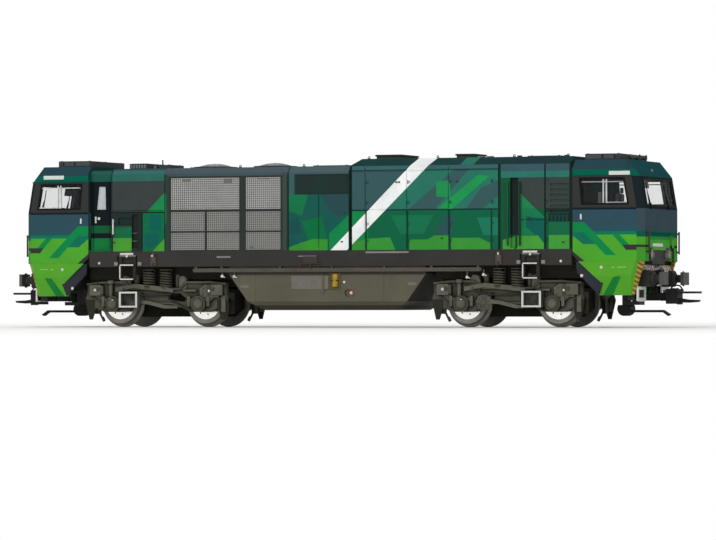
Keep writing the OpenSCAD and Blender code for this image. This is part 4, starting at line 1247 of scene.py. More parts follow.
    def hoses(self) -> None:
        """Builds the air hoses with their cocks, and the bar over the buffer beam."""
        beam = Box.of("front_steps").high[0] - 0.7
        hose, cock = self.piece("air_hoses"), self.piece("hose_cocks")
        for y in self.hoses_at:
            side = 1 if y < 8 else -1
            cock.rod((beam - 1.2, y, 16.6), (beam + 0.9, y, 16.6), 0.5, 12)
            cock.rod((beam + 0.4, y, 16.3), (beam + 0.4, y, 17.6), 0.16, 8)
            hose.tube([(beam + out, y + across * side, z) for out, across, z in self.hose_route], 0.25, 10, 6)
        self.place(hose.mirrored(), "buffer_black", PAINT.hose)
        self.place(cock.mirrored(), "step_white", PAINT.plate)
        bar = self.piece("buffer_beam_rail")
        for y0, y1 in ((-14.2, -5.2), (-4.4, 3.6)):
            bar.rod((beam + 0.6, y0, 16.9), (beam + 0.6, y1, 17.2), 0.34, 12)
        for y in (-13.4, -6.2, -3.6, 2.8):
            bar.rod((beam + 0.6, y, 16.9), (beam - 1.2, y, 16.7), 0.22, 8)
        self.place(bar, "step_white", PAINT.step_white)

    def buffers(self) -> None:
        """Builds the buffers' flange bolts, plunger collars and the faces' edges."""
        head = Box.of("buffers_1")
        foot, y, z = head.low[0] + 4.6, 10.05, (head.low[2] + head.high[2]) / 2
        work = self.piece("buffer_fittings")
        for dy in (-1.75, 1.75):
            for dz in (-1.7, 1.7):
                work.bolt((foot, y + dy, z + dz), Axis.X, 0.7, 0.35)
        work.turned((foot, y, z), Axis.X, ((1.1, 0), (1.9, 0), (1.9, 0.5), (1.6, 0.9), (1.1, 0.9)), 28)
        work.turned((head.high[0] - 1.5, y, z), Axis.X, ((1.1, 0), (1.5, 0.1), (2.2, 0.62), (1.1, 0.62)), 28)
        self.place(work.mirrored(), "buffer_black", PAINT.black, 0.04)

    def roof(self) -> None:
        """Builds the air conditioner's side panels and fan guards, and the horns' bells."""
        unit = Box.of("cab_1_air_conditioner")
        side, foot, top = unit.high[1], unit.low[2], unit.high[2]
        middle = (unit.low[0] + unit.high[0]) / 2
        panels = self.piece("roof_unit_panels")
        for x0, x1 in ((unit.low[0] + 0.35, middle - 0.3), (middle + 0.3, unit.high[0] - 1.9)):
            panels.block((x0, side - 0.1, foot + 0.3), (x1, side + 0.12, top - 0.4))
        self.place(panels.mirrored(), "roof_grey", PAINT.unit_panel, 0.06)
        guard = self.piece("roof_unit_fans")
        for y in (-6.0, 6.0):
            for k in range(1, 5):
                guard.hoop((middle, y, top - 0.14), Axis.Z, 0.8 * k, 0.1, 24)
            for k in range(6):
                angle = math.pi * k / 6
                dx, dy = 3.3 * math.cos(angle), 3.3 * math.sin(angle)
                guard.rod((middle - dx, y - dy, top - 0.16), (middle + dx, y + dy, top - 0.16), 0.09, 6)
            guard.rod((middle, y, top - 0.4), (middle, y, top - 0.05), 0.6, 16)
        for x in (unit.low[0] + 0.7, unit.high[0] - 0.7):
            for y in (-11.3, 0.0, 11.3):
                guard.bolt((x, y, top - 0.02), Axis.Z, 0.5, 0.16)
        self.place(guard, "roof_grey", PAINT.roof_light)
        bells = self.piece("horn_bells")
        bell = ((0.12, -0.4), (0.5, -0.5), (0.62, 0.1), (0.9, 0.55), (0.8, 0.6), (0.45, 0.1), (0.12, 0.0))
        for y in (-3.0, 3.0):
            bells.turned((unit.high[0] + 2.4, y, HULL.cab_roof + 0.9), Axis.X, bell, 20)
        self.place(bells, "roof_grey", PAINT.roof)

    def build(self) -> None:
        """Dresses the cab and builds all its fittings."""
        for step in (
            self.dress, self.gaskets, self.window_bars, self.wipers, self.desk, self.lamps,
            self.plates, self.hardware, self.hoses, self.buffers, self.roof,
        ):
            step()


# ---------------------------------------------------------------- hoods and roof


@dataclass(frozen=True)
class Hoods:
    """The hoods between the cabs with their doors' fittings and the fine grilles.

    Attributes:
        latches: Places of door latches, as (along, height).
        seams: Places of door seams that carry hinges.
        hinge_heights: Heights of the hinges on a seam.
        wire_pitch: Spacing of the grille's wires.
        wire: Half thickness of a grille wire.
        screens: Grille fields as (x0, x1, z0, z1) from the start of the cooling hood.
        tabs: Small lifting plates on the grilles, in the same way.
        door_window: Outline of the entry door's window.
    """

    latches: Outline = (
        (6.0, 32.7), (5.2, 24.4), (22.6, 41.2), (21.8, 41.2), (40.1, 41.2), (10.0, 20.6),
        (71.6, 23.9), (35.5, 25.2), (-66.0, 24.6), (61.5, 30.6),
    )
    seams: tuple[float, ...] = (12.3, 24.9, 37.5, 50.1, 66.2)
    hinge_heights: tuple[float, ...] = (24.6, 29.4, 35.4, 41.2)
    wire_pitch: float = 0.62
    wire: float = 0.1
    screens: tuple[Area, ...] = (
        (2.1, 12.7, 22.3, 27.3), (13.4, 23.5, 22.3, 27.3), (25.6, 36.3, 22.3, 27.3),
        (2.1, 12.7, 27.8, 33.3), (13.4, 23.5, 27.8, 33.3), (25.6, 36.3, 27.8, 33.3),
        (2.1, 23.5, 34.0, 43.1), (25.6, 36.3, 34.0, 43.1),
    )
    tabs: tuple[Area, ...] = (
        (5.6, 8.2, 42.2, 42.9), (18.6, 21.2, 41.6, 42.9), (29.2, 32.6, 42.5, 42.9), (26.6, 28.0, 22.5, 23.5),
    )
    door_window: Outline = ((-72.1, 34.2), (-69.1, 34.2), (-69.3, 41.0), (-71.4, 41.0))

    def dress(self) -> None:
        """Gives the hoods' construction nodes their finishes."""
        dress(PAINT.entry, "entry")
        dress(PAINT.door_glass, "entry_glazing")
        dress(PAINT.equipment, "equipment_hood")
        dress(PAINT.cooling, "cooling_hood")
        dress(PAINT.mesh_back, "cooling_grilles")
        dress(PAINT.middle, "middle_hood")
        dress(PAINT.engine, "engine_hood")
        dress(PAINT.auxiliary, "auxiliary_hood")
        dress(PAINT.motor, "drive_motor")

    def spaced(self, start: float, stop: float) -> list[float]:
        """Places of the wires between two edges of a screen."""
        count = round((stop - start) / self.wire_pitch)
        return [start + k * (stop - start) / count for k in range(1, count)]

    def grilles(self) -> None:
        """Weaves the fine wire screens of the cooling hood, with their frames and lifting plates."""
        wires, frames = Workpiece("grille_wires"), Workpiece("grille_frames")
        plates = Workpiece("grille_lifting_plates")
        face, edge = HULL.side - 0.25, 0.1
        for x0, x1, z0, z1 in self.screens:
            x0, x1 = x0 + HULL.cooling + 0.12, x1 + HULL.cooling - 0.12
            z0, z1 = z0 + 0.12, z1 - 0.12
            for x in self.spaced(x0, x1):
                wires.block((x - self.wire, face - 0.04, z0), (x + self.wire, face + 0.12, z1))
            for z in self.spaced(z0, z1):
                wires.block((x0, face - 0.04, z - self.wire), (x1, face + 0.1, z + self.wire))
            outer = rectangle(x0 - edge, x1 + edge, z0 - edge, z1 + edge)
            inner = rectangle(x0 + edge, x1 - edge, z0 + edge, z1 - edge)
            frames.ring(outer, inner, Axis.Y, face - 0.04, face + 0.16)
        for x0, x1, z0, z1 in self.tabs:
            plates.block((x0 + HULL.cooling, face, z0), (x1 + HULL.cooling, face + 0.2, z1))
        wires.paired("grille_metal", PAINT.mesh)
        frames.paired("grille_metal", PAINT.mesh)
        plates.paired("grille_metal", PAINT.lamp_grey, 0.05)

    def doors(self) -> None:
        """Builds the latches and hinges of the hoods' doors."""
        side = HULL.side
        latches, hinges = Workpiece("door_latches"), Workpiece("door_hinges")
        for x, z in self.latches:
            latches.block((x - 0.32, side - 0.05, z - 0.2), (x + 0.32, side + 0.14, z + 0.2))
            latches.rod((x - 0.1, side, z - 0.05), (x - 0.1, side + 0.24, z - 0.05), 0.14, 10)
        for x in self.seams:
            for z in self.hinge_heights:
                hinges.rod((x + 0.34, side + 0.02, z - 0.5), (x + 0.34, side + 0.02, z + 0.5), 0.13, 8)
                hinges.block((x + 0.3, side - 0.04, z - 0.3), (x + 1.1, side + 0.05, z - 0.14))
                hinges.block((x + 0.3, side - 0.04, z + 0.14), (x + 1.1, side + 0.05, z + 0.3))
        latches.paired("hood_paint", PAINT.black, 0.04)
        hinges.paired("hood_paint", PAINT.trim)

    def entry_door(self) -> None:
        """Builds the entry door's handle, lock and window rubber."""
        side = Box.of("entry").high[1]
        door = Workpiece("entry_door_fittings")
        door.block((-72.7, side - 0.1, 30.3), (-72.2, side + 0.12, 32.2))
        door.block((-71.8, side - 0.1, 31.3), (-71.1, side + 0.12, 32.0))
        door.rod((-72.4, side + 0.3, 30.4), (-72.4, side + 0.3, 32.1), 0.12, 8)
        door.paired("step_white", PAINT.plate, 0.03)
        gasket = Workpiece("entry_window_gasket")
        outer, inner = grown(self.door_window, 0.3), grown(self.door_window, -0.08)
        gasket.ring(outer, inner, Axis.Y, side - 0.2, side + 0.1)
        gasket.paired("buffer_black", PAINT.rubber, 0.05)

    def niche_steps(self) -> None:
        """Builds the rungs in the upright niche beside the entry and the vent slats on the doors."""
        work = Workpiece("niche_rungs")
        for z in (22.6, 25.0, 27.3):
            work.rod((-60.3, HULL.side - 0.25, z), (-58.6, HULL.side - 0.25, z), 0.16, 8)
            work.rod((-60.2, HULL.side - 0.8, z), (-60.2, HULL.side - 0.25, z), 0.14, 8)
        work.block((-64.9, HULL.side - 0.45, 28.9), (-60.9, HULL.side - 0.2, 29.2))
        work.paired("hood_paint", PAINT.bogie_light, 0.03)
        slats = Workpiece("door_vent_slats")
        for k in range(5):
            x = 67.9 + 1.1 * k
            slats.block((x, HULL.side - 0.04, 29.6), (x + 0.7, HULL.side + 0.1, 31.7))
        slats.paired("hood_paint", PAINT.trim, 0.04)

    def build(self) -> None:
        """Dresses the hoods and builds their fittings."""
        for step in (self.dress, self.grilles, self.doors, self.entry_door, self.niche_steps):
            step()


@dataclass(frozen=True)
class RoofGear:
    """What stands on the roofs: fan guards, exhaust slats, hatches, lifting eyes.

    Attributes:
        fan_radius: Radius of a cooling fan's guard.
        fan_rise: Height of a guard's dome over the roof.
        hoops: Hoops in a guard.
        spokes: Spokes in a guard.
        blades: Blades of a fan.
        eyes_low: Places of the lifting eyes along the low roofs.
        eyes_tall: Places of the lifting eyes along the tall roofs.
    """

    fan_radius: float = 6.3
    fan_rise: float = 1.45
    hoops: int = 11
    spokes: int = 12
    blades: int = 7
    eyes_low: tuple[float, ...] = (-46.3, -27.2, -7.4)
    eyes_tall: tuple[float, ...] = (12.6, 33.5, 56.4, 72.4)

    def dome(self, radius: float) -> float:
        """Height of a guard's dome at a distance from its middle."""
        return HULL.low_roof + self.fan_rise * (1 - (radius / self.fan_radius) ** 2) + 0.12

    def fans(self) -> None:
        """Builds the two domed wire guards and the blades below them."""
        dress(PAINT.roof, "cooling_fans")
        guards, blades = Workpiece("fan_guards"), Workpiece("fan_blades")
        fans, low = Box.of("cooling_fans"), HULL.low_roof - 0.75
        for x in (fans.low[0] + 6.4, fans.high[0] - 6.4):
            for k in range(1, self.hoops + 1):
                r = self.fan_radius * k / self.hoops
                guards.hoop((x, 0, self.dome(r)), Axis.Z, r - 0.1, 0.12, 40)
            for k in range(self.spokes):
                angle = 2 * math.pi * k / self.spokes
                radii = [self.fan_radius * i / 6 for i in range(7)]
                spoke = [(x + r * math.cos(angle), r * math.sin(angle), self.dome(r)) for r in radii]
                guards.tube(spoke, 0.11, 6)
            for k in range(self.blades):
                angle = 2 * math.pi * k / self.blades
                way = Vector((math.cos(angle), math.sin(angle), 0))
                side = Vector((-way.y, way.x, 0))
                root = (way * 1.4 + side * 0.7, way * 5.3 + side * 1.5)
                tip = (way * 5.5 - side * 0.9, way * 1.4 - side * 0.5)
                under = [Vector((x, 0, low + 0.25 * i)) + spot for i, spot in enumerate(root + tip)]
                blades.skin(([spot + Vector((0, 0, 0.12)) for spot in under], under), False)
            blades.rod((x, 0, HULL.low_roof - 0.9), (x, 0, HULL.low_roof - 0.1), 1.5, 24)
        guards.finished(Body.SHELL, "roof_grey", PAINT.dome)
        blades.finished(Body.SHELL, "roof_grey", PAINT.black)

    def exhausts(self) -> None:
        """Builds the exhaust boxes' slats, pipes and rims."""
        dress(PAINT.roof, "exhaust_boxes", "roof_hatches", "horns")
        boxes = Box.of("exhaust_boxes")
        start, stop, top, roof = boxes.low[0], boxes.high[0], boxes.high[2], HULL.tall_roof
        work = Workpiece("exhaust_slats")
        for k in range(8):
            y = -5.6 + 1.6 * k
            slat = ((y - 0.3, roof + 0.5), (y, roof + 0.5), (y + 0.4, top - 0.02), (y + 0.1, top - 0.02))
            work.prism(slat, Axis.X, start + 1.0, start + 6.4)
        pipe = ((1.1, 0.4), (1.55, 0.4), (1.55, 1.06), (1.45, 1.12), (1.1, 1.06))
        for y in (-2.4, 2.4):
            work.turned((stop - 2.6, y, roof), Axis.Z, pipe, 24)
        for x0, x1, y in ((start, start + 7.4, 7.0), (stop - 5.2, stop, 5.0)):
            rim = rectangle(x0, x1, -y, y)
            work.ring(grown(rim, 0.3), grown(rim, -0.9), Axis.Z, top - 0.05, top + 0.45)
        work.finished(Body.SHELL, "roof_grey", PAINT.black, 0.03)

    def hatches(self) -> None:
        """Builds the hatches' ribs and bolts, and the small pipes and boxes beside them."""
        hatch, low, tall = Box.of("roof_hatches"), HULL.low_roof, HULL.tall_roof
        x0, far = hatch.low[0], HULL.auxiliary
        work = Workpiece("hatch_ribs")
        for k in range(6):
            x = x0 + 0.86 * k
            work.block((x + 0.35, -9.1, low + 0.35), (x + 0.8, -8.9, low + 1.35))
        for k in range(5):
            y = -8.2 + 3.5 * k
            work.block((x0 + 0.5, y, hatch.low[2] + 1.66), (x0 + 5.1, y + 2.0, hatch.low[2] + 1.78))
        for x, y, z in (
            (HULL.middle + 5, 7, low + 0.5), (HULL.middle + 14, 7, low + 0.5),
            (far + 6, 7, tall + 0.5), (far + 14, 7, tall + 0.5),
            (x0 + 8.6, 4, low + 1.4), (x0 + 10.4, 4, low + 1.4),
        ):
            for side in (-1, 1):
                work.bolt((x, side * y, z - 0.03), Axis.Z, 0.55, 0.2)
        work.rod((far + 5.6, 0, tall + 0.5), (far + 14.4, 0, tall + 0.5), 0.22, 10)
        work.rod((x0 + 6.6, -5.5, low), (x0 + 6.6, -5.5, low + 1.1), 0.4, 12)
        work.rod((x0 + 14.0, 4.5, low), (x0 + 14.0, 4.5, low + 0.9), 0.5, 12)
        for x in (45.4, 48.0):
            work.block((x, -15.2, tall - 0.1), (x + 1.6, -13.2, tall + 0.35))
        work.finished(Body.SHELL, "roof_grey", PAINT.roof_light, 0.03)

    def eyes(self) -> None:
        """Builds the lifting eyes and the walkway strips on the roofs."""
        eyes, strips = Workpiece("lifting_eyes"), Workpiece("roof_walkways")
        for places, roof, y in ((self.eyes_low, HULL.low_roof, 15.2), (self.eyes_tall, HULL.tall_roof, 15.4)):
            for x in places:
                eyes.rod((x, y, roof - 0.1), (x, y, roof + 0.2), 0.4, 12)
                eyes.hoop((x, y, roof + 0.36), Axis.Y, 0.28, 0.11, 16)
        tall = (HULL.engine + 20, HULL.engine + 26, HULL.tall_roof)
        for x0, x1, roof in (tall, (-49.3, -48.6, HULL.low_roof)):
            for k in range(int((x1 - x0) / 1.2) + 1):
                strips.block((x0 + 1.2 * k, -11.5, roof - 0.03), (x0 + 1.2 * k + 0.5, 11.5, roof + 0.1))
        eyes.paired("roof_grey", PAINT.black)
        strips.finished(Body.SHELL, "roof_grey", PAINT.roof, 0.02)

    def build(self) -> None:
        """Builds everything on the roofs."""
        for step in (self.fans, self.exhausts, self.hatches, self.eyes):
            step()


# ---------------------------------------------------------------- below the deck


@dataclass(frozen=True)
class Underframe:
    """Sills, fuel tank, pipes, steps and handrails.

    Attributes:
        sill_bolts: Single bolts on the sills, as (along, height, seat's distance from the side).
        sill_plates: Blank plates on the sills, as (x0, x1, z0, z1).
        hangers: Places of the bright cocks that hang below the pipe ledge.
        gauge: Outline of the brass fuel gauge.
        data_plate: Outline of the tank's blank plate.
        port: Place and radius of the fuel port, as (along, height, radius).
        wheel_room: Underside of the inner frame, clear of the wheels.
        bolster_room: Underside of the bearers, clear of the bogies' bolsters.
        keel: Half the width of the deeper middle of the inner frame, between the wheels.
        beam: Half the width of the inner frame, clear of the swinging springs.
    """

    sill_bolts: tuple[Point, ...] = (
        (-70.85, 18.6, -0.02), (-53.7, 20.7, 0.55), (70.85, 18.6, -0.02),
        (52.5, 20.8, 0.55), (-61.9, 20.6, 0.36), (61.9, 20.6, 0.36),
    )
    sill_plates: tuple[Area, ...] = (
        (-33.6, -29.3, 20.0, 20.5), (-8.3, -2.6, 20.2, 20.5), (12.4, 25.5, 21.1, 21.6),
    )
    hangers: Outline = ((-32.1, 14.7), (-28.3, 14.6), (42.9, 14.2), (47.8, 14.9))
    gauge: Outline = rectangle(1.2, 4.2, 11.0, 15.6)
    data_plate: Outline = rectangle(-10.9, 0.6, 10.9, 14.8)
    port: tuple[float, float, float] = (7.5, 9.8, 0.75)
    wheel_room: float = 13.8
    bolster_room: float = 11.8
    keel: float = 3.4
    beam: float = 9.9

    def dress(self) -> None:
        """Gives the underframe's construction nodes their finishes."""
        dress(PAINT.frame_grey, "main_frame")
        dress(PAINT.tank_grey, "fuel_tank")
        dress(PAINT.pipe, "pipework")
        dress(PAINT.black, "front_steps")
        dress(PAINT.ladder, "ladders")
        dress(PAINT.rail, "handrails")
        dress(PAINT.coupler, "coupler_brackets")

    def sills(self) -> None:
        """Builds the sills' bolts, blank plates, caps and valve pipes."""
        side = HULL.side
        bolts, plates, pipes = Workpiece("sill_bolts"), Workpiece("sill_plates"), Workpiece("sill_pipes")
        for x, z, out in self.sill_bolts:
            bolts.bolt((x, side + out, z), Axis.Y, 0.6, 0.16)
        for x0, x1, z0, z1 in self.sill_plates:
            plates.block((x0, side - 0.05, z0), (x1, side + 0.07, z1))
        for x in (-65.4, -57.9, 58.4, 65.7):
            plates.block((x - 0.55, side - 0.1, 17.9), (x + 0.55, side + 0.3, 18.9))
        for x in (-53.5, 52.5):
            bend = ((x - 0.5, side + 0.35, 20.2), (x - 0.6, side + 0.35, 18.8), (x - 0.5, side - 0.1, 17.2))
            pipes.tube(bend, 0.16, 8, 3)
            pipes.rod((x, side + 0.3, 18.6), (x, side + 0.3, 17.9), 0.5, 12)
            pipes.rod((x + 0.9, side + 0.1, 21.2), (x + 0.9, side + 0.1, 17.6), 0.14, 8)
        line = ((-7.9, side + 0.25, 18.0), (-4.6, side + 0.35, 18.3), (-1.5, side + 0.25, 18.2))
        pipes.tube(line, 0.2, 8, 4)
        pipes.rod((-4.4, side + 0.3, 18.3), (-4.4, side + 0.3, 16.9), 0.3, 12)
        for x in (-7.6, -1.9):
            pipes.rod((x, side + 0.25, 18.1), (x, side - 0.3, 17.0), 0.24, 10)
        bolts.paired("step_white", PAINT.bolt)
        plates.paired("frame_grey", PAINT.sill_plate, 0.04)
        pipes.paired("frame_grey", PAINT.valve)

    def cocks(self) -> None:
        """Builds the bright cocks that hang from the pipe ledge and the ledge's unions."""
        bolts, hangers = Workpiece("cock_ends"), Workpiece("cock_hangers")
        y = HULL.side - 0.62
        for x, z in self.hangers:
            hangers.rod((x, y, 16.4), (x, y, z), 0.22, 10)
            hangers.rod((x, y - 0.35, z), (x, y + 0.2, z), 0.42, 14)
            bolts.bolt((x, y + 0.18, z), Axis.Y, 0.72, 0.4)
            bolts.rod((x, y + 0.35, z), (x + 0.9, y + 0.35, z - 0.35), 0.16, 8)
        for x in (-30.5, -16.4, -9.2, 11.0, 24.0, 38.5):
            hangers.rod((x - 0.5, y, 16.4), (x + 0.5, y, 16.4), 0.66, 16)
        hangers.block((-41.0, y - 0.2, 15.85), (46.8, y + 0.54, 16.95))
        bolts.paired("step_white", PAINT.bolt)
        hangers.paired("frame_grey", PAINT.pipe)

    def inner_frame(self) -> None:
        """Builds the dark frame above the wheels and the bearers over each bogie's bolster, which also fill
        the gaps under the body with painted shade.
        """
        work = Workpiece("inner_frame")
        room, low, beam = self.wheel_room, self.bolster_room, self.beam
        for side in (-1, 1):
            x = side * HULL.pivot
            work.block((x - 23.4, -beam, room), (x + 27.0, beam, HULL.sill + 0.3))
            work.block((x - 23.4, -self.keel, low), (x + 23.4, self.keel, room + 0.1))
            work.block((x - 6.2, -beam, low), (x + 6.2, beam, room + 0.1))
        work.finished(Body.SHELL, "frame_grey", PAINT.shade, 0.15)

    def tank(self) -> None:
        """Builds the tank's gauge, blank plates, port ring, caps and weld seams."""
        side = HULL.tank_side
        plates = Workpiece("tank_plates")
        plates.prism(self.data_plate, Axis.Y, side - 0.05, side + 0.1)
        for x, z in ((-25.4, 11.7), (26.1, 12.4)):
            plates.block((x - 1.3, side - 0.05, z - 0.5), (x + 1.3, side + 0.1, z + 0.5))
        plates.paired("tank_grey", PAINT.tank_plate, 0.04)
        gauge = Workpiece("fuel_gauge")
        gauge.ring(self.gauge, grown(self.gauge, -0.45), Axis.Y, side - 0.1, side + 0.25)
        gauge.prism(grown(self.gauge, -0.4), Axis.Y, side - 0.1, side + 0.08)
        middle = (self.gauge[0][0] + self.gauge[1][0]) / 2
        gauge.paired("tank_grey", PAINT.gauge_back, 0.05)
        tube = Workpiece("fuel_gauge_tube")
        tube.rod((middle, side + 0.1, 11.5), (middle, side + 0.1, 15.2), 0.95, 20)
        tube.paired("tank_grey", PAINT.brass, 0.1)
        dial = Workpiece("fuel_gauge_dial")
        dial.block((middle - 1.0, side, 13.2), (middle + 1.0, side + 0.98, 13.5))
        dial.rod((middle - 0.9, side, 15.1), (middle - 0.9, side + 0.4, 15.1), 0.25, 12)
        dial.rod((middle + 0.9, side, 11.5), (middle + 0.9, side + 0.4, 11.5), 0.25, 12)
        dial.paired("tank_grey", PAINT.black, 0.04)
        x, z, r = self.port
        ring = Workpiece("fuel_port_ring")
        profile = ((r, -0.2), (r + 0.35, -0.2), (r + 0.35, 0.16), (r + 0.2, 0.26), (r, 0.16))
        ring.turned((x, side, z), Axis.Y, profile, 28)
        ring.paired("tank_grey", PAINT.orange)
        caps = Workpiece("tank_caps")
        caps.bolt((x, side - 0.02, z), Axis.Y, 0.8, 0.3)
        caps.bolt((5.4, side - 0.02, 12.9), Axis.Y, 0.65, 0.3)
        caps.paired("step_white", PAINT.bolt)
        seams = Workpiece("tank_seams")
        for sx in (-22.0, 17.5):
            seams.tube(((sx, side - 0.02, 7.5), (sx, side - 0.02, 17.2)), 0.1, 6)
        seams.block((-1.4, side - 0.1, 9.6), (-0.7, side + 0.2, 15.6))
        seams.paired("tank_grey", PAINT.tank_grey)

    def steps(self) -> None:
        """Builds the tread plates and hand bars of the side steps."""
        work = Workpiece("step_treads")
        ladders = Box.of("ladders")
        middle = ladders.high[0] - 2.6
        for x in (-middle, middle):
            for z in (13.9, 18.0, ladders.high[2] - 0.35):
                work.block((x - 2.1, HULL.side - 0.1, z - 0.14), (x + 2.1, HULL.side + 0.55, z + 0.2))
            work.rod((x - 2.2, HULL.side + 0.3, 14.0), (x - 2.2, HULL.side + 0.3, 18.0), 0.2, 10)
        work.paired("step_white", PAINT.step_white, 0.05)

    def front_frames(self) -> None:
        """Builds the pale frames of the front steps with their dark insides."""
        for end in (1, 2):
            pale, dark = Workpiece(f"front_step_frames_{end}"), Workpiece(f"front_step_insides_{end}")
            x = Box.of("front_steps").high[0] + 0.9
            outer = rectangle(7.6, 15.0, 7.4, 11.5)
            pale.ring(outer, grown(outer, -0.95), Axis.X, x - 0.1, x + 0.4)
            dark.prism(grown(outer, -0.4), Axis.X, x - 0.1, x)
            dark.rod((x + 0.1, 11.3, 8.4), (x + 0.1, 11.3, 9.9), 0.45, 12)
            for y in (9.0, 13.4):
                dark.rod((x - 1.2, y, 9.4), (x, y, 9.4), 0.4, 12)
            pale.mirrored().faced(end).finished(Body.SHELL, "step_white", PAINT.step_white, 0.06)
            dark.mirrored().faced(end).finished(Body.SHELL, "step_white", PAINT.black)

    def build(self) -> None:
        """Dresses the underframe and builds its fittings."""
        for step in (
            self.dress, self.sills, self.cocks, self.inner_frame, self.tank, self.steps, self.front_frames
        ):
            step()


@dataclass(frozen=True)
class Bogie:
    """One bogie: the moulded relief of its side frames, springs, dampers, bolts and sand pipes.

    Attributes:
        number: One or two; one stands under cab 1.
        axle: Distance of an axle from the pivot.
        axle_height: Height of the axles.
        spring_radius: Outer radius of a coil spring.
        disc_at: Place of the bolted bearing disc, as (along, height).
        sand_pipe: Points of a sand pipe at the outer end.
        castings: Raised forms on a side frame, as (back, front, outline), measured from its face.
    """

    number: int
    axle: float = 13.6
    axle_height: float = 6.75
    spring_radius: float = 1.9
    disc_at: Pair = (-6.9, 7.1)
    sand_pipe: tuple[Point, ...] = (
        (20.9, 11.6, 9.6), (20.9, 10.6, 7.6), (20.5, 9.8, 4.8), (19.4, 9.4, 2.2), (19.1, 9.4, 1.9),
    )
    castings: tuple[tuple[float, float, Outline], ...] = (
        (-1.6, 0.2, ((-11.6, 10.2), (-8.2, 10.2), (-7.9, 12.6), (-8.6, 14.6), (-10.2, 15.0), (-11.2, 13.6))),
        (-1.6, 0.2, ((7.2, 10.8), (9.8, 10.8), (9.5, 14.0), (8.6, 14.9), (7.4, 14.6))),
        (0.0, 0.75, ((14.0, 8.6), (20.0, 8.6), (20.1, 11.4), (18.6, 12.3), (15.6, 12.3), (14.0, 11.2))),
        (0.0, 0.62, (
            (-12.8, 11.6), (-6.6, 12.6), (1.8, 11.8), (5.6, 11.0),
            (5.6, 10.0), (-0.4, 10.6), (-7.0, 11.3), (-12.8, 10.2),
        )),
        (0.0, 0.7, (
            (-6.0, 8.0), (-2.0, 7.6), (3.0, 6.4), (7.0, 6.2),
            (7.0, 5.4), (2.6, 5.4), (-2.4, 6.6), (-6.0, 6.8),
        )),
        (0.0, 0.85, ((8.9, 10.9), (12.9, 10.9), (12.9, 10.3), (8.9, 10.3))),
    )

    @property
    def body(self) -> Body:
        """The moving group of this bogie."""
        return Body[f"BOGIE_{self.number}"]

    @property
    def step_side(self) -> int:
        """The end, seen from the pivot, where this bogie's steps are."""
        return 1 if self.number == 1 else -1

    def place(
        self, work: Workpiece, slot: str, finish: Finish, bevel: float = 0.0, replaces: Iterable[str] = ()
    ) -> None:
        """Moves a piece drawn about the pivot to this bogie, on both sides."""
        work.mirrored().shifted(HULL.pivot * self.step_side)
        work.finished(self.body, slot, finish, bevel, replaces)

    def piece(self, name: str) -> Workpiece:
        """Starts a piece of this bogie."""
        return Workpiece(f"bogie_{self.number}_{name}")

    def dress(self) -> None:
        """Gives the bogie's construction nodes their finishes."""
        for part in ("frame", "axle_boxes", "brakes"):
            dress(PAINT.bogie, f"bogie_{self.number}_{part}")
        dress(PAINT.gearbox, f"bogie_{self.number}_gearbox")
        dress(PAINT.bogie_step, f"bogie_{self.number}_steps")

    def springs(self) -> None:
        """Builds the coil springs between the side frames and the body, with their seats."""
        box = Box.of(f"bogie_{self.number}_springs")
        low, high = box.low[2], box.high[2]
        y = box.high[1] - self.spring_radius
        work = self.piece("coil_springs")
        for x in (-2.7, 2.7):
            work.spring((x, y, low + 0.25), self.spring_radius - 0.26, 0.26, high - low - 0.5, 6)
            work.rod((x, y, low), (x, y, high), 0.95, 16)
            work.rod((x, y, low), (x, y, low + 0.35), self.spring_radius, 24)
            work.rod((x, y, high - 0.35), (x, y, high), self.spring_radius, 24)
        self.place(work, "bogie_grey", PAINT.bogie_spring, replaces=(f"bogie_{self.number}_springs",))

    def relief(self) -> None:
        """Builds the brackets, arms, beams and covers that stand out from the side frames."""
        face = HULL.bogie_side
        work = self.piece("frame_relief")
        for back, front, outline in self.castings:
            work.prism(outline, Axis.Y, face + back, face + front)
        for foot, head, radius, sides in ((8.2, 13.0, 0.55, 14), (12.6, 13.6, 1.0, 18), (7.6, 8.6, 0.85, 18)):
            work.rod((-14.2, face + 0.55, foot), (-14.2, face + 0.55, head), radius, sides)
        for x in (-19.0, 19.6):
            work.block((x - 1.9, face - 0.1, 9.2), (x + 1.6, face + 1.05, 12.3))
        cover = ((0.1, 0.0), (1.55, 0.0), (1.5, 0.32), (0.9, 0.42), (0.1, 0.42))
        saddle = ((-2.9, 8.4), (2.9, 8.4), (3.3, 7.2), (2.3, 7.4), (-2.3, 7.4), (-3.3, 7.2))
        for x in (-self.axle, self.axle):
            work.turned((x, face + 1.1, self.axle_height), Axis.Y, cover, 24)
            work.prism([(x + dx, z) for dx, z in saddle], Axis.Y, face, face + 0.75)
            work.block((x - 3.5, face, 6.0), (x - 2.6, face + 0.9, 8.9))
            work.block((x + 2.6, face, 6.0), (x + 3.5, face + 0.9, 8.9))
        work.block((20.6, face - 0.8, 4.4), (21.9, face + 0.3, 9.2))
        work.rod((21.2, face - 0.2, 9.0), (21.2, face - 0.2, 4.6), 0.42, 12)
        self.place(work, "bogie_grey", PAINT.bogie_relief, 0.1)

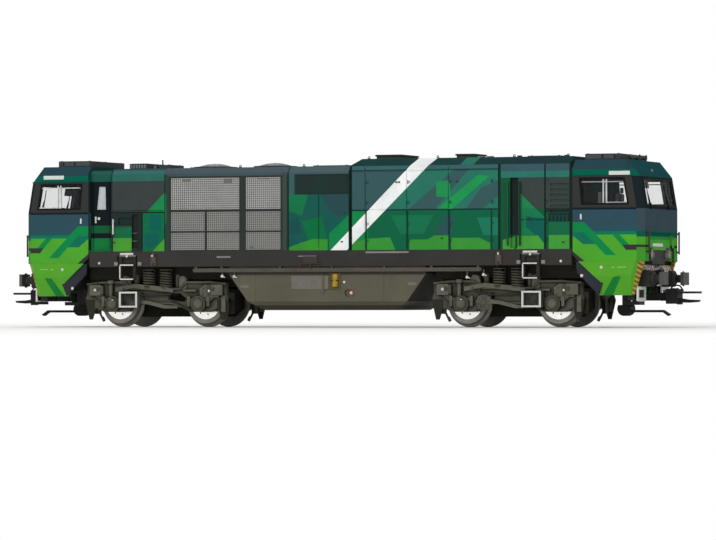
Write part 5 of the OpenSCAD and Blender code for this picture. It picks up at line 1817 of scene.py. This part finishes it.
    def covers(self) -> None:
        """Builds the bolted bearing disc, on bogie 1, and the small bolts of all covers."""
        face = HULL.bogie_side
        work = self.piece("bolted_covers")
        if self.number == 1:
            disc = ((0.1, 0), (2.3, 0), (2.3, 0.55), (1.9, 0.75), (0.8, 0.75), (0.7, 1.0), (0.1, 1.0))
            work.turned((self.disc_at[0], face, self.disc_at[1]), Axis.Y, disc, 32)
            for k in range(8):
                angle = math.pi * k / 4 + 0.2
                x, z = self.disc_at[0] + 1.6 * math.cos(angle), self.disc_at[1] + 1.6 * math.sin(angle)
                work.bolt((x, face + 0.7, z), Axis.Y, 0.45, 0.25)
        for centre in (-self.axle, self.axle):
            for k in range(6):
                angle = math.pi * k / 3 + 0.3
                x, z = centre + 1.85 * math.cos(angle), self.axle_height + 1.85 * math.sin(angle)
                work.bolt((x, face + 1.05, z), Axis.Y, 0.4, 0.22)
        for x, z in ((15.0, 9.4), (16.8, 8.9), (18.8, 9.2), (15.2, 11.2), (17.0, 11.9), (18.9, 11.2)):
            work.bolt((x, face + 0.7, z), Axis.Y, 0.42, 0.25)
        self.place(work, "bogie_grey", PAINT.bogie_light)

    def bolts(self) -> None:
        """Builds the few bright bolts."""
        face = HULL.bogie_side
        work = self.piece("bright_bolts")
        work.bolt((-19.1, face + 1.0, 10.8), Axis.Y, 0.75, 0.35)
        work.bolt((17.0, face + 0.7, 10.5), Axis.Y, 0.75, 0.35)
        work.rod((-self.axle, face + 1.5, 7.9), (-self.axle + 0.5, face + 1.52, 7.9), 0.12, 8)
        self.place(work, "step_white", PAINT.bolt)

    def pipes(self) -> None:
        """Builds the sand pipes and cables of the bogie."""
        work = self.piece("sand_pipes")
        foot = self.sand_pipe[-1][1]
        for side in (-1, 1):
            work.tube([(side * x, y, z) for x, y, z in self.sand_pipe], 0.32, 10, 5)
            work.rod((side * 19.6, foot, 2.9), (side * 19.0, foot, 1.7), 0.46, 12)
        self.place(work, "bogie_grey", PAINT.bogie_light)
        cables, y = self.piece("hoses_on_frame"), HULL.bogie_side + 0.25
        upper = ((-12.4, y, 13.4), (-8.4, y + 0.3, 10.0), (-2.0, y + 0.35, 9.2), (5.2, y + 0.3, 9.6))
        cables.tube(upper, 0.22, 8, 5)
        cables.tube(((5.2, y, 7.6), (9.6, y + 0.3, 5.4), (12.0, y + 0.3, 4.6)), 0.2, 8, 4)
        self.place(cables, "bogie_grey", PAINT.black)

    def build(self) -> None:
        """Dresses the bogie and builds its fittings."""
        for step in (self.dress, self.springs, self.relief, self.covers, self.bolts, self.pipes):
            step()


@dataclass(frozen=True)
class RunningGear:
    """Wheelsets and couplers.

    Attributes:
        wheelsets: Number of wheelsets.
        coupler_height: Height of the couplers.
    """

    wheelsets: int = 4
    coupler_height: float = 8.6

    def wheels(self) -> None:
        """Gives the wheels and axles their finishes."""
        for i in range(1, self.wheelsets + 1):
            dress(PAINT.wheel, f"wheels_{i}")
            dress(PAINT.axle, f"axle_{i}")
            self.faces(i)

    def faces(self, number: int) -> None:
        """Builds the bright dished faces of one pair of wheels and the dark heads of their rivets.

        Args:
            number: Number of the wheelset.
        """
        pair = Box.of(f"wheels_{number}")
        x, z = (pair.low[0] + pair.high[0]) / 2, (pair.low[2] + pair.high[2]) / 2
        face = pair.high[1] - 0.72
        discs, rivets = Workpiece(f"wheel_faces_{number}"), Workpiece(f"wheel_rivets_{number}")
        discs.turned((x, face, z), Axis.Y, ((2.3, -0.3), (4.5, -0.3), (4.5, 0.65), (2.3, 0.65)), 48)
        for k in range(8):
            angle = math.pi * k / 4 + 0.25
            spot = (x + 3.1 * math.cos(angle), z + 3.1 * math.sin(angle))
            rivets.rod((spot[0], face - 0.2, spot[1]), (spot[0], face + 0.68, spot[1]), 0.24, 12)
        body = Body[f"WHEELSET_{number}"]
        discs.mirrored().finished(body, "wheel_steel", PAINT.disc)
        rivets.mirrored().finished(body, "wheel_steel", PAINT.black)

    def coupler(self, end: int) -> None:
        """Dresses one coupler and builds its rivets, pin and the wire of its loop.

        Args:
            end: One or two.
        """
        dress(PAINT.coupler, f"coupler_{end}_shank", f"coupler_{end}_head")
        x, z = Box.of("coupler_1_head").low[0], self.coupler_height
        work = Workpiece(f"coupler_{end}_fittings")
        for y in (-1.8, 1.8):
            work.rod((x + 2.0, y, z + 2.1), (x + 2.0, y, z + 2.45), 0.5, 14)
        work.rod((x + 3.3, -2.2, z - 1.9), (x + 3.3, 2.2, z - 1.9), 0.3, 12)
        loop = ((0.6, 2.1), (1.4, 3.0), (3.2, 3.1), (4.4, 1.6))
        work.tube([(x + along, 0.0, z + up) for along, up in loop], 0.22, 8, 5)
        work.block((x - 4.4, -1.35, z - 0.5), (x - 0.1, 1.35, z + 0.5))
        work.faced(end).finished(Body[f"COUPLER_{end}"], "coupler_black", PAINT.coupler, 0.05)

    def build(self) -> None:
        """Builds and dresses the running gear."""
        self.wheels()
        self.coupler(1)
        self.coupler(2)


# ---------------------------------------------------------------- floor, light and camera


@dataclass(frozen=True)
class Lamp:
    """One soft area lamp aimed at the middle of the model.

    Attributes:
        name: Name of the lamp.
        place: Its place in metres.
        size: Its width in metres.
        level: Light on a surface that faces it, where one shows a colour as written.
    """

    name: str
    place: Point
    size: float
    level: float

    def build(self) -> None:
        """Hangs the lamp."""
        data = bpy.data.lights.new(self.name, "AREA")
        data.shape = "SQUARE"
        data.size = self.size
        place = Vector(self.place)
        data.energy = self.level * (math.pi * place.length) ** 2
        lamp = bpy.data.objects.new(self.name, data)
        lamp.location = place
        lamp.rotation_euler = (-place).to_track_quat("-Z", "Y").to_euler()
        bpy.context.scene.collection.objects.link(lamp)


@dataclass(frozen=True)
class Studio:
    """A pale floor, soft light and the camera.

    Attributes:
        lamps: The area lamps.
        sky: Level of the light from all round.
        floor: Colour of the floor round the model.
        clear: Distances in metres where the floor starts and ends its fade to white.
        target: Place that the camera looks at, in metres.
        azimuth: Turn of the camera about Z, in degrees, from looking along Y.
        elevation: Height angle of the camera in degrees.
        roll: Tilt of the picture in degrees.
        distance: Distance of the camera in metres.
        lens: Focal length in millimetres on a 36 mm wide frame.
        shift: Shift of the picture across and up.
    """

    lamps: tuple[Lamp, ...] = (
        Lamp("key_lamp", (-0.35, -1.0, 0.75), 0.9, 0.33),
        Lamp("low_lamp", (0.1, -1.3, 0.08), 0.6, 0.17),
        Lamp("front_lamp", (0.9, -0.6, 0.4), 0.6, 0.14),
        Lamp("top_lamp", (0.0, 0.05, 1.2), 0.8, 0.22),
        Lamp("back_lamp", (-0.5, 0.9, 0.7), 0.8, 0.3),
    )
    sky: float = 0.36
    floor: str = "#f4f4f2"
    clear: tuple[float, float] = (0.12, 0.34)
    target: Point = (0.0, 0.0, 0.025)
    azimuth: float = 21.33
    elevation: float = -0.831
    roll: float = -0.071
    distance: float = 1.226734
    lens: float = 213.12
    shift: tuple[float, float] = (0.01454, -0.04108)

    @staticmethod
    def seen(tree: bpy.types.NodeTree) -> bpy.types.NodeSocket:
        """Adds nodes that give one for camera, mirrored and passed-through rays."""
        rays = tree.nodes.new("ShaderNodeLightPath")
        total = rays.outputs["Is Camera Ray"]
        for name in ("Is Glossy Ray", "Is Transmission Ray"):
            add = tree.nodes.new("ShaderNodeMath")
            add.operation = "ADD"
            add.use_clamp = True
            tree.links.new(total, add.inputs[0])
            tree.links.new(rays.outputs[name], add.inputs[1])
            total = add.outputs[0]
        return total

    def sky_light(self) -> None:
        """Sets the world: white where it is seen, a plain even level where it lights."""
        world = bpy.data.worlds.new("studio")
        bpy.context.scene.world = world
        world.use_nodes = True
        tree = world.node_tree
        tree.nodes.clear()
        mix = tree.nodes.new("ShaderNodeMixShader")
        tree.links.new(self.seen(tree), mix.inputs[0])
        for i, level in ((1, self.sky), (2, 1.0)):
            background = tree.nodes.new("ShaderNodeBackground")
            background.inputs["Strength"].default_value = level
            background.inputs["Color"].default_value = (1, 1, 1, 1)
            tree.links.new(background.outputs[0], mix.inputs[i])
        output = tree.nodes.new("ShaderNodeOutputWorld")
        tree.links.new(mix.outputs[0], output.inputs["Surface"])

    def lay_floor(self) -> None:
        """Lays the floor, pale round the model and fading to white further off."""
        mesh = bmesh.new()
        bmesh.ops.create_grid(mesh, x_segments=8, y_segments=8, size=6.0)
        data = bpy.data.meshes.new("floor")
        mesh.to_mesh(data)
        mesh.free()
        floor = bpy.data.objects.new("floor", data)
        bpy.context.scene.collection.objects.link(floor)
        graph = Graph("floor_paper")
        graph.link(graph.mix(graph.noise(60), self.floor, "#f1f1ef"), graph.shader.inputs["Base Color"])
        graph.shader.inputs["Roughness"].default_value = 0.9
        distance = graph.tree.nodes.new("ShaderNodeVectorMath")
        distance.operation = "LENGTH"
        graph.link(graph.place, distance.inputs[0])
        start, stop = (d / MM for d in self.clear)
        span = stop - start
        fade = graph.math("MULTIPLY_ADD", distance.outputs["Value"], 1 / span, -start / span, clamp=True)
        fade = graph.math("MULTIPLY", fade, self.seen(graph.tree))
        white = graph.tree.nodes.new("ShaderNodeEmission")
        white.inputs["Strength"].default_value = 1.0
        mix = graph.tree.nodes.new("ShaderNodeMixShader")
        output = next(n for n in graph.tree.nodes if n.type == "OUTPUT_MATERIAL")
        graph.link(fade, mix.inputs[0])
        graph.link(graph.shader.outputs[0], mix.inputs[1])
        graph.link(white.outputs[0], mix.inputs[2])
        graph.link(mix.outputs[0], output.inputs["Surface"])
        data.materials.append(graph.material)

    def camera(self) -> None:
        """Sets up the camera and the plain view."""
        turn, rise = math.radians(self.azimuth), math.radians(self.elevation)
        back = Vector((math.sin(turn) * math.cos(rise), -math.cos(turn) * math.cos(rise), math.sin(rise)))
        data = bpy.data.cameras.new("camera")
        data.lens, data.sensor_width = self.lens, 36.0
        data.shift_x, data.shift_y = self.shift
        data.clip_start, data.clip_end = 0.01, 100.0
        camera = bpy.data.objects.new("camera", data)
        camera.location = Vector(self.target) + back * self.distance
        look = (-back).to_track_quat("-Z", "Y").to_matrix()
        camera.rotation_euler = (Matrix.Rotation(math.radians(self.roll), 3, back) @ look).to_euler()
        bpy.context.scene.collection.objects.link(camera)
        bpy.context.scene.camera = camera
        bpy.context.scene.view_settings.view_transform = "Standard"

    def build(self) -> None:
        """Sets up the whole studio."""
        self.camera()
        self.sky_light()
        self.lay_floor()
        for lamp in self.lamps:
            lamp.build()


def main() -> None:
    """Builds the studio and every sub-assembly."""
    logging.basicConfig(level=logging.INFO, format="%(name)s: %(message)s")
    Studio().build()
    for end in (1, 2):
        Cab(end).build()
    Hoods().build()
    RoofGear().build()
    Underframe().build()
    for number in (1, 2):
        Bogie(number).build()
    RunningGear().build()


if __name__ == "__main__":
    main()
